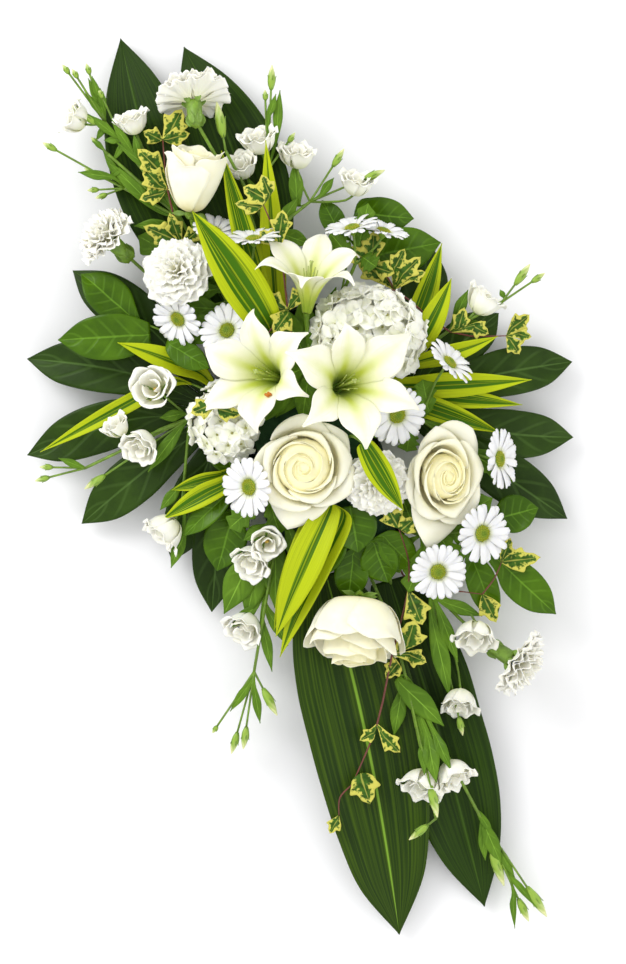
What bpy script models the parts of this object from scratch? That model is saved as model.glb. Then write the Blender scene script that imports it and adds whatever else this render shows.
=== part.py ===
# Casket spray: white flowers and green leaves set both ways into a tray of foam.
#
# The flowers are drawn in plan, in millimetres: X to the right, Y up the spray,
# Z up from the underside of the tray, with the tray's centre at the origin.
# Every finished mesh is then turned so that the spray's long axis lies along Y,
# and is scaled to metres.

import math
import random

import bmesh
import bpy
from mathutils import Matrix, Quaternion, Vector

MM = 0.001
LEAN = math.radians(18.0)

TRAY_LENGTH = 264.0
TRAY_WIDTH = 134.0
TRAY_HEIGHT = 24.0
TRAY_WALL = 2.4
TRAY_DRAFT = 6.0
FOAM_LENGTH = 234.0
FOAM_WIDTH = 106.0
FOAM_TOP = 78.0
SEAT_GAP = 0.3
STEM_DEPTH = 21.0
HOLE_ROOM = 0.5
HOLE_OVERRUN = 8.0
HOLE_GROWTH = 1.14  # makes a five-sided hole clear a round stem
ROOT_LONG = 84.0  # furthest that a stem starts from the foam's middle, along and across
ROOT_WIDE = 30.0
FOAM_MARGIN = 12.0

LEAF_THICK = 0.9
PETAL_THICK = 1.0
STEM_SIDES = 5
STALK_WIDTH = 2.4
STEM_PULL = 0.25
SMOOTH_ANGLE = math.radians(38.0)
FLAT_ANGLE = math.radians(0.6)
UP = Vector((0.0, 0.0, 1.0))

# Half widths of a leaf from its base to its tip, as shares of the widest place.
LANCE = (0.16, 0.6, 0.88, 1.0, 0.97, 0.8, 0.5, 0.0)
OVAL = (0.72, 1.0, 0.74, 0.0)
STRAP = (0.7, 1.0, 0.72, 0.0)
IVY_LEAF = (1.0, 0.46, 0.0)
SLIM = (0.4, 1.0, 0.0)

# Rings of a rose's petals, outer to inner: rim and height, the valley inside it, and the petals' turn.
ROSE_PETALS = ((1.0, 0.6, 0.7, 0.4, 0), (0.78, 0.84, 0.5, 0.56, 1), (0.5, 1.0, 0.24, 0.76, 2))
# Ruffs of a carnation, outer to inner: rim and height, then the neck and height inside it.
CARNATION_RUFFS = ((1.0, 8, 0.42, 11), (0.82, 17, 0.3, 17), (0.5, 25, 0.0, 21))
# A lily's trumpet from foot to tepal tips: radius, height and share of the sector filled.
LILY_PROFILE = ((4.5, 0, 1), (9, 30, 1), (22, 58, 1), (42, 73, 0.82), (58, 77, 0.4), (70, 73, 0))
LILY_DEPTH = 74.0
# Stations along a fatsia lobe: share of its length, of its width, and lift.
FATSIA_LOBE = ((0.42, 0.8, 5.0), (0.62, 1.0, 7.0), (0.83, 0.72, 4.0), (1.0, 0.0, 0.0))

COLOURS = {
    "petal_white": (0.86, 0.86, 0.82, 0.55),
    "rose_cream": (0.88, 0.84, 0.68, 0.5),
    "lily_white": (0.86, 0.88, 0.72, 0.45),
    "floret_white": (0.84, 0.86, 0.74, 0.6),
    "stem_green": (0.12, 0.26, 0.05, 0.5),
    "leaf_dark": (0.02, 0.075, 0.02, 0.35),
    "leaf_glossy": (0.05, 0.19, 0.03, 0.3),
    "leaf_striped": (0.35, 0.45, 0.04, 0.4),
    "ivy_cream": (0.3, 0.36, 0.1, 0.45),
    "spray_green": (0.45, 0.55, 0.35, 0.55),
    "foam_green": (0.05, 0.16, 0.06, 0.95),
    "tray_green": (0.02, 0.09, 0.03, 0.35),
}

stem_holes = []


def clear_scene():
    for item in list(bpy.data.objects):
        bpy.data.objects.remove(item)


def material(name):
    made = bpy.data.materials.get(name)
    if made is None:
        red, green, blue, rough = COLOURS[name]
        made = bpy.data.materials.new(name)
        made.use_nodes = True
        shader = made.node_tree.nodes["Principled BSDF"]
        shader.inputs["Base Color"].default_value = (red, green, blue, 1.0)
        shader.inputs["Roughness"].default_value = rough
        shader.inputs["Metallic"].default_value = 0.0
        made.diffuse_color = (red, green, blue, 1.0)
    return made


def facing(place, direction, turn=0.0):
    """Matrix that stands a shape's Z along a direction, with its X as near plan X as that leaves."""
    aim = Vector(direction).normalized()
    across = (Vector((1.0, 0.0, 0.0)) - aim * aim.x).normalized()
    axes = Matrix((across, aim.cross(across), aim)).transposed().to_4x4()
    return Matrix.Translation(Vector(place)) @ axes @ Matrix.Rotation(turn, 4, "Z")


def thicken(bm, thick):
    """Closes a sheet into a solid whose two faces are split alike."""
    bmesh.ops.remove_doubles(bm, verts=bm.verts[:], dist=0.02)
    bmesh.ops.triangulate(bm, faces=bm.faces[:])
    bmesh.ops.recalc_face_normals(bm, faces=bm.faces[:])
    bmesh.ops.solidify(bm, geom=bm.faces[:], thickness=thick)
    bmesh.ops.triangulate(bm, faces=bm.faces[:])
    bmesh.ops.recalc_face_normals(bm, faces=bm.faces[:])
    return bm


def strip(bm, rows):
    """Faces between rows of points, where a row of one point is a tip."""
    lines = [[bm.verts.new(point) for point in row] for row in rows]
    for low, high in zip(lines, lines[1:]):
        for i in range(max(len(low), len(high)) - 1):
            if len(high) == 1:
                bm.faces.new((low[i], low[i + 1], high[0]))
            elif len(low) == 1:
                bm.faces.new((low[0], high[i + 1], high[i]))
            else:
                bm.faces.new((low[i], low[i + 1], high[i + 1], high[i]))
    return lines


def blade(base, tip, width, outline, arch=0.0, fold=0.15, roll=0.0, wave=0.0, thick=LEAF_THICK, sway=0.0,
          stalk=None):
    """Leaf from base to tip, arched, waved, swayed and, unless fold is None, folded along its midrib.

    A stalk is the point on the stem that the leaf's narrow foot grows from.
    """
    base, tip = Vector(base), Vector(tip)
    along = tip - base
    side = along.cross(UP).normalized()
    side.rotate(Quaternion(along.normalized(), roll))
    top = side.cross(along).normalized()
    rows = []
    if stalk is not None:
        rows.append(leaf_row(Vector(stalk), side, top, STALK_WIDTH / 2, 0.0, 0.0, fold))
    last = len(outline) - 1
    for i, share in enumerate(outline):
        bow = math.sin(math.pi * i / last)
        centre = base + along * (i / last) + top * (arch * bow) + side * (sway * bow)
        ripple = wave * math.sin(2.3 * i)
        rows.append(leaf_row(centre, side, top, 0.5 * width * share, fold or 0.0, ripple, fold))
    bm = bmesh.new()
    strip(bm, rows)
    return thicken(bm, thick)


def leaf_row(centre, side, top, half, lift, ripple, fold):
    """One row across a leaf: a tip, two edges, or two edges and a midrib."""
    if not half:
        return (centre,)
    left = centre - side * half + top * (lift * half + ripple)
    right = centre + side * half + top * (lift * half - ripple)
    return (left, right) if fold is None else (left, centre, right)


def tube(points, radius, sides=STEM_SIDES):
    """Closed round stem along a line of points; radius may be a list, one for each point."""
    points = [Vector(point) for point in points]
    radii = radius if isinstance(radius, (list, tuple)) else [radius] * len(points)
    side = Vector((1.0, 0.3, 0.1))
    rings = []
    bm = bmesh.new()
    for i, point in enumerate(points):
        ahead = (points[min(i + 1, len(points) - 1)] - points[max(i - 1, 0)]).normalized()
        side = (side - ahead * side.dot(ahead)).normalized()
        other = ahead.cross(side)
        ring = []
        for k in range(sides):
            angle = math.tau * k / sides
            out = side * math.cos(angle) + other * math.sin(angle)
            ring.append(bm.verts.new(point + out * radii[i]))
        rings.append(ring)
    for low, high in zip(rings, rings[1:]):
        for k in range(sides):
            bm.faces.new((low[k], low[(k + 1) % sides], high[(k + 1) % sides], high[k]))
    bm.faces.new(rings[0][::-1])
    bm.faces.new(rings[-1])
    bmesh.ops.triangulate(bm, faces=bm.faces[:])
    bmesh.ops.recalc_face_normals(bm, faces=bm.faces[:])
    return bm


def stacked(rings, matrix):
    """Closed solid between rings of points.

    A ring of one point is a pole, and a ring may have twice or thrice as many points as the one before.
    """
    bm = bmesh.new()
    lines = [[bm.verts.new(point) for point in ring] for ring in rings]
    for low, high in zip(lines, lines[1:]):
        count = max(len(low), len(high))
        for k in range(count):
            j = (k + 1) % count
            a, b = low[k * len(low) // count], low[j * len(low) // count]
            c, d = high[j * len(high) // count], high[k * len(high) // count]
            bm.faces.new(list(dict.fromkeys((a, b, c, d))))
    for line in (lines[0], lines[-1]):
        if len(line) > 1:
            bm.faces.new(line)
    bmesh.ops.triangulate(bm, faces=bm.faces[:])
    bmesh.ops.recalc_face_normals(bm, faces=bm.faces[:])
    bmesh.ops.transform(bm, matrix=matrix, verts=bm.verts[:])
    return bm


def ring(count, radius, height, period=1, cut=0.0, drop=0.0, shift=0, draw=None, shake=0.0):
    """Ring of points whose every period-th one is a notch, cut in and dropped."""
    points = []
    for k in range(count):
        notch = period > 1 and (k + shift) % period == 0
        lift = draw.uniform(-shake, shake) if draw else 0.0
        points.append(polar(radius * (1.0 - cut if notch else 1.0), math.tau * k / count,
                            height - (drop if notch else 0.0) + lift))
    return points


def turned(profile, sides, matrix):
    """Closed solid turned round its own Z axis; a radius of nought is a pole."""
    return stacked([ring(sides if radius else 1, radius, height) for radius, height in profile], matrix)


def corolla(lobes, profile, matrix):
    """Ring of petals grown together below and split above.

    A profile row is radius, height and the share of its sector that a petal fills:
    1 joins it to its neighbours, and the last row is the tips.
    """
    bm = bmesh.new()
    sector = math.pi / lobes
    for lobe in range(lobes):
        angle = math.tau * lobe / lobes
        rows = []
        for radius, height, share in profile[:-1]:
            rows.append([polar(radius, angle + side * sector * share, height) for side in (-1, 0, 1)])
        rows.append((polar(profile[-1][0], angle, profile[-1][1]),))
        strip(bm, rows)
    bmesh.ops.remove_doubles(bm, verts=bm.verts[:], dist=0.02)
    low = [v for v in bm.verts if abs(v.co.z - profile[0][1]) < 0.01]
    bm.faces.new(sorted(low, key=lambda v: math.atan2(v.co.y, v.co.x)))
    thicken(bm, PETAL_THICK)
    bmesh.ops.transform(bm, matrix=matrix, verts=bm.verts[:])
    return bm


def polar(radius, angle, height):
    return Vector((radius * math.cos(angle), radius * math.sin(angle), height))


def foam_exit(core, direction):
    """Where a line from inside the foam leaves it."""
    turn = Matrix.Rotation(-LEAN, 3, "Z")
    start, way = turn @ core, turn @ direction
    reach = []
    for axis, limit in ((0, FOAM_WIDTH / 2), (1, FOAM_LENGTH / 2)):
        if abs(way[axis]) > 1e-6:
            reach.append((math.copysign(limit, way[axis]) - start[axis]) / way[axis])
    if way.z > 1e-6:
        reach.append((FOAM_TOP - start.z) / way.z)
    return core + direction * min(reach)


def curve_points(start, way_out, end, way_in, steps):
    """Points of a smooth stem that leaves and arrives along two directions."""
    reach = (end - start).length * STEM_PULL
    a, b = start + way_out * reach, end - way_in * reach
    points = []
    for i in range(steps + 1):
        t = i / steps
        near, far = (1 - t) ** 2, t ** 2
        points.append(start * (1 - t) * near + a * 3 * t * near + b * 3 * (1 - t) * far + end * t * far)
    return points


def rooted(end, way_in, height, radius, steps=4, shift=(0.0, 0.0)):
    """Stem line from inside the foam to an end, with its hole noted for the foam."""
    end, way_in = Vector(end), Vector(way_in).normalized()
    turn = Matrix.Rotation(-LEAN, 3, "Z")
    local = turn @ end
    over_x = abs(local.x) < FOAM_WIDTH / 2 + FOAM_MARGIN
    over_y = abs(local.y) < FOAM_LENGTH / 2 + FOAM_MARGIN
    above = end.z > FOAM_TOP and over_x and over_y
    along = max(-ROOT_LONG, min(ROOT_LONG, (0.9 if above else 0.62) * local.y)) + shift[1]
    across = max(-ROOT_WIDE, min(ROOT_WIDE, (0.72 if above else 0.3) * local.x)) + shift[0]
    core = turn.inverted() @ Vector((across, along, height))
    way_out = (end - way_in * (end - core).length * STEM_PULL - core).normalized()
    mouth = foam_exit(core, way_out)
    inner = mouth - way_out * STEM_DEPTH
    stem_holes.append((inner - way_out * HOLE_ROOM, mouth + way_out * HOLE_OVERRUN, radius + HOLE_ROOM))
    return [inner] + curve_points(mouth + way_out * 4.0, way_out, end, way_in, steps)


def make_object(name, bm, colour, lean=True):
    """Mesh object from a drawing in millimetres, turned along Y and in metres."""
    scale = Matrix.Scale(MM, 4)
    turn = Matrix.Rotation(-LEAN, 4, "Z") if lean else Matrix.Identity(4)
    bmesh.ops.transform(bm, matrix=scale @ turn, verts=bm.verts[:])
    mesh = bpy.data.meshes.new(name)
    bm.to_mesh(mesh)
    bm.free()
    mesh.materials.append(material(colour))
    return bpy.data.objects.new(name, mesh)


def boolean(base, others, operation):
    """Applies one Boolean of a collection to an object and removes the collection."""
    scene = bpy.context.scene.collection
    group = bpy.data.collections.new(base.name + "_parts")
    scene.children.link(group)
    for other in others:
        group.objects.link(other)
    step = base.modifiers.new(operation.lower(), "BOOLEAN")
    step.operation = operation
    step.operand_type = "COLLECTION"
    step.collection = group
    step.solver = "MANIFOLD"
    bpy.context.view_layer.update()
    result = bpy.data.meshes.new_from_object(base.evaluated_get(bpy.context.evaluated_depsgraph_get()))
    base.modifiers.clear()
    base.data = result
    for other in others:
        bpy.data.objects.remove(other)
    bpy.data.collections.remove(group)


def islands(bm):
    """Groups of faces that hang together, with the signed volume of each."""
    left = set(bm.faces)
    while left:
        group, edge = set(), [left.pop()]
        while edge:
            face = edge.pop()
            group.add(face)
            for side in face.edges:
                for near in side.link_faces:
                    if near in left:
                        left.discard(near)
                        edge.append(near)
        volume = 0.0
        for face in group:
            a, b, c = (v.co for v in face.verts[:3])
            volume += a.cross(b).dot(c) / 6.0
        yield group, volume


def keep_main_body(mesh):
    """Leaves one closed body: scraps are dropped and sealed hollows are filled."""
    bm = bmesh.new()
    bm.from_mesh(mesh)
    bmesh.ops.triangulate(bm, faces=bm.faces[:])
    groups = sorted(islands(bm), key=lambda pair: pair[1])
    extra = [face for group, _ in groups[:-1] for face in group]
    bmesh.ops.delete(bm, geom=extra, context="FACES")
    bmesh.ops.dissolve_limit(bm, angle_limit=FLAT_ANGLE, verts=bm.verts[:], edges=bm.edges[:])
    bmesh.ops.triangulate(bm, faces=bm.faces[:])
    bm.to_mesh(mesh)
    bm.free()


def node(name, colour, pieces):
    """Named object fused from its pieces into one body."""
    objects = [make_object(name, piece, colour) for piece in pieces]
    first = objects[0]
    bpy.context.scene.collection.objects.link(first)
    if objects[1:]:
        boolean(first, objects[1:], "UNION")
    keep_main_body(first.data)
    first.data.shade_smooth()
    first.data.set_sharp_from_angle(angle=SMOOTH_ANGLE)
    return first


def tray():
    """Shallow oblong dish with round corners."""
    bm = bmesh.new()
    outer = ((-TRAY_DRAFT, 0.0), (0.0, TRAY_HEIGHT), (-TRAY_WALL, TRAY_HEIGHT),
             (-TRAY_DRAFT - TRAY_WALL, TRAY_WALL))
    rings = []
    for inset, height in outer:
        rings.append([bm.verts.new(point) for point in oblong(inset, height)])
    for low, high in zip(rings, rings[1:]):
        for k in range(len(low)):
            j = (k + 1) % len(low)
            bm.faces.new((low[k], low[j], high[j], high[k]))
    bm.faces.new(rings[0][::-1])
    bm.faces.new(rings[-1])
    bmesh.ops.recalc_face_normals(bm, faces=bm.faces[:])
    piece = make_object("spray_tray", bm, "tray_green", lean=False)
    bpy.context.scene.collection.objects.link(piece)


def oblong(inset, height, corner=30.0, steps=3):
    """Outline of the tray, moved in by an inset."""
    half_x, half_y = TRAY_WIDTH / 2 - corner, TRAY_LENGTH / 2 - corner
    points = []
    for quarter in range(4):
        sign_x = 1 if quarter in (0, 3) else -1
        sign_y = 1 if quarter in (0, 1) else -1
        for i in range(steps + 1):
            angle = (quarter + i / steps) * math.pi / 2
            points.append((sign_x * half_x + (corner + inset) * math.cos(angle),
                           sign_y * half_y + (corner + inset) * math.sin(angle), height))
    return points


def foam():
    """Brick of foam with a plain hole for every stem."""
    low = TRAY_WALL + SEAT_GAP
    bm = bmesh.new()
    bmesh.ops.create_cube(bm, size=1.0)
    size = Matrix.Diagonal((FOAM_WIDTH, FOAM_LENGTH, FOAM_TOP - low, 1.0))
    bmesh.ops.transform(bm, matrix=Matrix.Translation((0, 0, (FOAM_TOP + low) / 2)) @ size, verts=bm.verts[:])
    upper = [e for e in bm.edges if any(v.co.z > low + 1 for v in e.verts)]
    bmesh.ops.bevel(bm, geom=upper, affect="EDGES", offset=6.0, segments=1, profile=0.5, material=-1)
    bmesh.ops.triangulate(bm, faces=bm.faces[:])
    brick = make_object("floral_foam", bm, "foam_green", lean=False)
    bpy.context.scene.collection.objects.link(brick)
    cutters = []
    for number, (inner, outer, radius) in enumerate(stem_holes):
        drill = tube((inner, outer), radius * HOLE_GROWTH)
        cutters.append(make_object(f"hole_{number}", drill, "foam_green"))
    boolean(brick, cutters, "DIFFERENCE")
    keep_main_body(brick.data)


def aspidistra():
    """Four long dark leaves, two at each end."""
    plan = (
        ("aspidistra_top_left", (-75, 120, 37), (-191, 405, 12), 66, 10, 0.16, -4),
        ("aspidistra_top_right", (-40, 130, 44), (-127, 396, 18), 74, 10, 0.16, 12),
        ("aspidistra_low_left", (16, -134, 50), (89, -498, 14), 112, 10, 0.10, 8),
        ("aspidistra_low_right", (80, -140, 38), (176, -470, 10), 82, 6, 0.10, 10),
    )
    for name, base, tip, width, arch, fold, sway in plan:
        base, tip = Vector(base), Vector(tip)
        line = rooted(base, tip - base, base.z + 4, 2.6)
        leaf = blade(base, tip, width, LANCE, arch, fold, wave=1.2, sway=sway)
        radii = [2.6] * len(line) + [0.4]
        node(name, "leaf_dark", (leaf, tube(line + [base + (tip - base).normalized() * 4], radii)))


def palmate(hub, tips, web, width):
    """One sheet of lobes that share the points between them."""
    hub = Vector(hub)
    ways = [(Vector(tip) - hub) for tip in tips]
    arms = [way.normalized() for way in ways]
    webs = [hub + (a + b).normalized() * web for a, b in zip(arms, arms[1:])]
    turn = Matrix.Rotation(math.radians(32), 3, "Z")
    ends = (arms[0] @ turn, turn @ arms[0])
    first = max(ends, key=lambda way: (way - arms[1]).length)
    ends = (arms[-1] @ turn, turn @ arms[-1])
    final = max(ends, key=lambda way: (way - arms[-2]).length)
    webs = [hub + first * web * 0.8] + webs + [hub + final * web * 0.8]
    bm = bmesh.new()
    for number, way in enumerate(ways):
        side = (webs[number + 1] - webs[number]).normalized()
        side = (side - arms[number] * side.dot(arms[number])).normalized()
        rows = [(hub,), (webs[number], hub + arms[number] * web, webs[number + 1])]
        for share, size, lift in FATSIA_LOBE:
            centre = hub + way * share + UP * lift
            half = 0.5 * (width + 0.06 * way.length) * size
            ripple = UP * (1.6 * (-1) ** number if lift > 4 else 0.0)
            left = centre - side * half + UP * 2.5 + ripple
            right = centre + side * half + UP * 2.5 - ripple
            rows.append((left, centre, right) if half else (centre,))
        strip(bm, rows)
    return thicken(bm, LEAF_THICK)


def fatsia():
    """Two leaves lobed like a hand, one to each side."""
    plan = (
        ("fatsia_left", (-82, 30, 40), ((-239, 171, 16), (-285, 82, 18), (-285, -15, 16),
                                       (-230, -84, 16), (-139, -122, 16), (-99, -173, 14))),
        ("fatsia_right", (88, 38, 40), ((131, 197, 14), (190, 128, 16), (261, 79, 18), (265, 3, 18),
                                        (258, -77, 16))),
    )
    for name, hub, tips in plan:
        hub = Vector(hub)
        middle = sum((Vector(tip) for tip in tips), Vector()) / len(tips)
        out = (middle - hub).normalized()
        line = rooted(hub - out * 4 - UP * 1.5, out, 46, 2.2)
        stalk = tube(line + [hub + out * 5 - UP * 1.2], 2.2)
        node(name, "leaf_dark", (palmate(hub, tips, 26, 34), stalk))


def leafy(name, colour, stem, leaves, outline, radius=1.2, height=50, way=None, shift=(0.0, 0.0), fold=0.15,
          arch=3.0):
    """Sprig: a rooted stem through its points, with leaves on short feet.

    A leaf is the stem point it grows from, its base, tip, width and roll.
    """
    stem = [Vector(point) for point in stem]
    way = Vector(way) if way else (stem[1] - stem[0] if len(stem) > 1 else Vector(leaves[0][2]) - stem[0])
    line = rooted(stem[0], way, height, radius, 3, shift) + stem[1:]
    pieces = [tube(line, [radius] * (len(line) - 1) + [radius * 0.6], 4)]
    for which, base, tip, width, roll in leaves:
        pieces.append(blade(base, tip, width, outline, arch, fold, roll, stalk=stem[which]))
    node(name, colour, pieces)


def salal():
    """Glossy oval leaves on short sprigs."""
    leafy("salal_left", "leaf_glossy", ((-95, 75, 62), (-140, 105, 62), (-170, 118, 60)), (
        (2, (-182, 128, 60), (-226, 159, 58), 32, 0.2), (2, (-176, 112, 60), (-252, 100, 56), 42, -0.1),
        (1, (-140, 96, 76), (-100, 71, 84), 27, 0.1)), OVAL, height=56)
    leafy("salal_top", "leaf_glossy", ((34, 160, 50), (40, 200, 50)), (
        (1, (48, 214, 50), (106, 222, 44), 36, 0.1), (1, (30, 206, 52), (12, 240, 48), 24, 0.1)),
        OVAL, height=44)
    leafy("salal_low_left", "leaf_glossy", ((-66, -45, 58), (-74, -66, 56)), (
        (0, (-78, -30, 62), (-96, 16, 62), 40, 0.3), (1, (-77, -76, 56), (-93, -131, 52), 43, 0.1),
        (0, (-80, -52, 66), (-126, -96, 64), 25, 0.2)), OVAL, height=52)
    leafy("salal_middle", "leaf_glossy", ((45, -80, 88), (60, -100, 84)), (
        (0, (40, -66, 90), (48, -112, 88), 46, 0.0), (1, (64, -104, 82), (78, -142, 74), 38, 0.2),
        (0, (30, -88, 84), (4, -138, 76), 34, 0.1), (1, (72, -96, 82), (104, -128, 72), 34, -0.1),
        (1, (44, -112, 78), (38, -160, 70), 34, 0.0)), OVAL, height=48)
    leafy("salal_right", "leaf_glossy", ((120, -70, 66), (160, -95, 62)), (
        (1, (185, -80, 62), (228, -68, 60), 38, -0.2), (1, (190, -122, 60), (246, -174, 52), 38, 0.1),
        (1, (162, -116, 56), (186, -182, 50), 30, 0.0)), OVAL, height=54)


def striped():
    """Tufts of long striped blades."""
    leafy("striped_top", "leaf_striped", ((-40, 105, 92),), (
        (0, (-43, 114, 116), (-116, 225, 130), 45, 0.2), (0, (-42, 122, 80), (-82, 288, 92), 19, -0.2),
        (0, (-34, 122, 80), (-43, 292, 88), 19, 0.2)), STRAP, 1.6, 62, (-0.3, 1, 0.3), fold=0.3, arch=4)
    leafy("striped_right", "leaf_striped", ((76, 66, 70), (90, 72, 68)), (
        (0, (92, 54, 74), (221, 60, 70), 26, 0.2), (0, (88, 42, 74), (190, 7, 70), 24, -0.1),
        (1, (108, 78, 70), (187, 103, 76), 20, 0.3), (1, (106, 92, 66), (141, 161, 72), 26, 0.2),
        (1, (100, 98, 52), (134, 196, 50), 22, 0.2)), STRAP, 1.6, 58, (1, 0.4, 0.0), fold=0.3, arch=6)
    leafy("striped_left", "leaf_striped", ((-90, 44, 58), (-118, 56, 56)), (
        (0, (-108, 66, 58), (-192, 97, 70), 24, 0.2), (1, (-140, 58, 52), (-270, -12, 50), 18, 0.1)),
        STRAP, 1.6, 52, (-1, 0.4, 0.1), fold=0.3, arch=6)
    leafy("striped_low", "leaf_striped", ((20, -62, 104),), (
        (0, (19, -70, 104), (-32, -192, 72), 36, 0.1), (0, (24, -70, 100), (-30, -217, 58), 20, 0.3)),
        STRAP, 1.6, 58, (-0.3, -1, 0.2), fold=0.3, arch=16)
    leafy("striped_centre", "leaf_striped", ((52, -4, 150),), (
        (0, (54, -6, 151), (92, -70, 146), 26, 0.1),), STRAP, 1.6, 50, (0.5, -0.6, 0.6), fold=0.3, arch=8)


def ivy():
    """Trails of small variegated leaves on wiry stems."""
    leafy("ivy_top_left", "ivy_cream", ((-128, 196, 68), (-142, 250, 68), (-147, 300, 64)), (
        (0, (-136, 200, 68), (-166, 213, 66), 26, 0.1), (1, (-150, 254, 70), (-166, 271, 70), 28, 0.0),
        (1, (-150, 268, 70), (-172, 290, 68), 30, 0.2), (2, (-140, 306, 66), (-128, 330, 64), 30, 0.0)),
        IVY_LEAF, 1.0, 68, shift=(-8, -8), fold=None, arch=2)
    leafy("ivy_top", "ivy_cream", ((-22, 128, 112), (-8, 190, 114), (-32, 232, 110)), (
        (0, (-22, 124, 122), (-36, 104, 130), 26, 0.0), (1, (-12, 204, 114), (-18, 228, 114), 26, 0.1),
        (2, (-44, 238, 109), (-66, 250, 106), 26, 0.1)), IVY_LEAF, 1.0, 60, fold=None, arch=2)
    leafy("ivy_right", "ivy_cream", ((84, 150, 66), (140, 108, 62), (196, 104, 62)), (
        (0, (70, 164, 62), (48, 180, 62), 28, 0.1), (0, (92, 160, 78), (112, 184, 80), 30, 0.0),
        (1, (158, 112, 66), (180, 100, 66), 26, 0.1), (2, (204, 112, 62), (228, 128, 62), 28, 0.2),
        (2, (202, 98, 62), (214, 80, 60), 28, 0.0)), IVY_LEAF, 1.0, 50, (0.4, 1, 0), fold=None, arch=2)
    leafy("ivy_low", "ivy_cream", ((98, -150, 66), (94, -215, 64), (67, -286, 60), (40, -345, 52)), (
        (0, (102, -160, 72), (112, -184, 74), 30, 0.1), (1, (96, -206, 70), (104, -180, 76), 34, 0.1),
        (2, (74, -296, 60), (92, -318, 58), 26, 0.1), (3, (48, -350, 52), (70, -368, 48), 30, 0.0),
        (3, (34, -362, 50), (20, -392, 44), 28, 0.2)), IVY_LEAF, 1.0, 54, (0.1, -1, 0), fold=None, arch=2)


def rose(name, place, aim, radius, height, turn, spread=1.0, sepals=0, root=52, lead=1.0):
    """Open rose: three rings of petals round a tight heart, on its own stem."""
    aim = Vector(aim).normalized()
    foot = Vector(place) - aim * height
    at = facing(foot, aim, turn) @ Matrix.Diagonal((1.0, spread, 1.0, 1.0))
    r, h = radius, height
    rings = [ring(15, 4.5, 0), ring(15, 0.6 * r, 0.14 * h)]
    for rim, top, valley, floor, shift in ROSE_PETALS:
        rings.append(ring(15, rim * r, top * h, 3, 0.13, 0.09 * h, shift))
        rings.append(ring(15, valley * r, floor * h, 3, 0.12, 0.0, shift))
    rings.append(ring(1, 0, 0.92 * h))
    pieces = [stacked(rings, at)]
    node(name + "_bloom", "rose_cream", pieces)
    end = foot - aim * 0.8
    line = rooted(end - aim * 5, (aim.x, aim.y, aim.z * lead), root, 2.4)
    pieces = [tube(line, 2.4), turned(((1.6, -8), (5.6, -4), (4.6, -0.4)), 6, facing(foot, aim))]
    for number in range(sepals):
        sweep = Matrix.Rotation(math.pi / 2 + 1.1 * (number - 1), 4, "Z")
        ends = [facing(foot, aim) @ sweep @ Vector(point) for point in ((4, 0, -3), (22, 0, -7))]
        pieces.append(blade(ends[0], ends[1], 7, SLIM, 2, None, stalk=facing(foot, aim) @ Vector((0, 0, -3))))
    node(name + "_stem", "stem_green", pieces)


def roses():
    rose("rose_top", (-114, 270, 100), (0.05, 0.82, 0.57), 33, 46, 0.4, sepals=3, root=64, lead=0.2)
    rose("rose_centre", (-7, -28, 140), (-0.05, -0.1, 1), 47, 42, 0.2)
    rose("rose_right", (139, -38, 122), (0.35, -0.1, 0.93), 40, 42, 0.9, 1.28)
    rose("rose_low", (43, -206, 100), (-0.05, -0.75, 0.66), 46, 44, 0.1, sepals=3, root=62, lead=0.3)


def lilies():
    """Three trumpets with six tepals each, on one branched stem."""
    plan = (
        ("lily_left", (-57, 68, 154), (-0.42, 0.12, 0.9), math.radians(33), 0.93),
        ("lily_right", (46, 58, 178), (0.27, 0.1, 0.96), math.radians(40), 1.0),
        ("lily_top", (4, 174, 150), (0.1, 0.72, 0.69), math.radians(17), 0.84),
    )
    fork = Vector((0, 74, 82))
    pieces = [tube(rooted(fork, (0, 0, 1), 40, 3.2, 2) + [fork + UP * 1.5], 3.2)]
    for name, place, aim, turn, size in plan:
        aim = Vector(aim).normalized()
        foot = Vector(place) - aim * LILY_DEPTH * size
        at = facing(foot, aim, turn) @ Matrix.Scale(size, 4)
        pistil = tube([at @ Vector((0, 0, z)) for z in (-0.4, 30, 66)], [1.6, 1.2, 2.0], 3)
        node(name, "lily_white", (corolla(6, LILY_PROFILE, at), pistil))
        end = foot - aim * (PETAL_THICK + SEAT_GAP)
        branch = (fork, fork.lerp(end - aim * 8, 0.6), end - aim * 6, end)
        pieces.append(tube(branch, (2.2, 2.0, 2.8, 3.6), 4))
    for tip in ((-34, 22, 84), (-8, 18, 88), (16, 20, 86), (42, 34, 90), (-44, 94, 98)):
        tip = Vector(tip)
        pieces.append(blade(fork.lerp(tip, 0.2), tip, 24, SLIM, 4.0, stalk=fork.lerp(tip, 0.03)))
    node("lily_stem", "stem_green", pieces)


def floret(place, normal, size, turn):
    """Four petals dished round a centre, tapering to a foot."""
    bm = bmesh.new()
    rim = []
    for k in range(8):
        radius, height = (size, 0.9) if k % 2 == 0 else (size * 0.5, -0.4)
        rim.append(bm.verts.new(polar(radius, math.tau * k / 8, height)))
    middle, foot = bm.verts.new((0, 0, -1.2)), bm.verts.new((0, 0, -size))
    for k in range(8):
        bm.faces.new((rim[k], rim[(k + 1) % 8], middle))
        bm.faces.new((rim[(k + 1) % 8], rim[k], foot))
    bmesh.ops.recalc_face_normals(bm, faces=bm.faces[:])
    bmesh.ops.transform(bm, matrix=facing(place, normal, turn), verts=bm.verts[:])
    return bm


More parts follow.
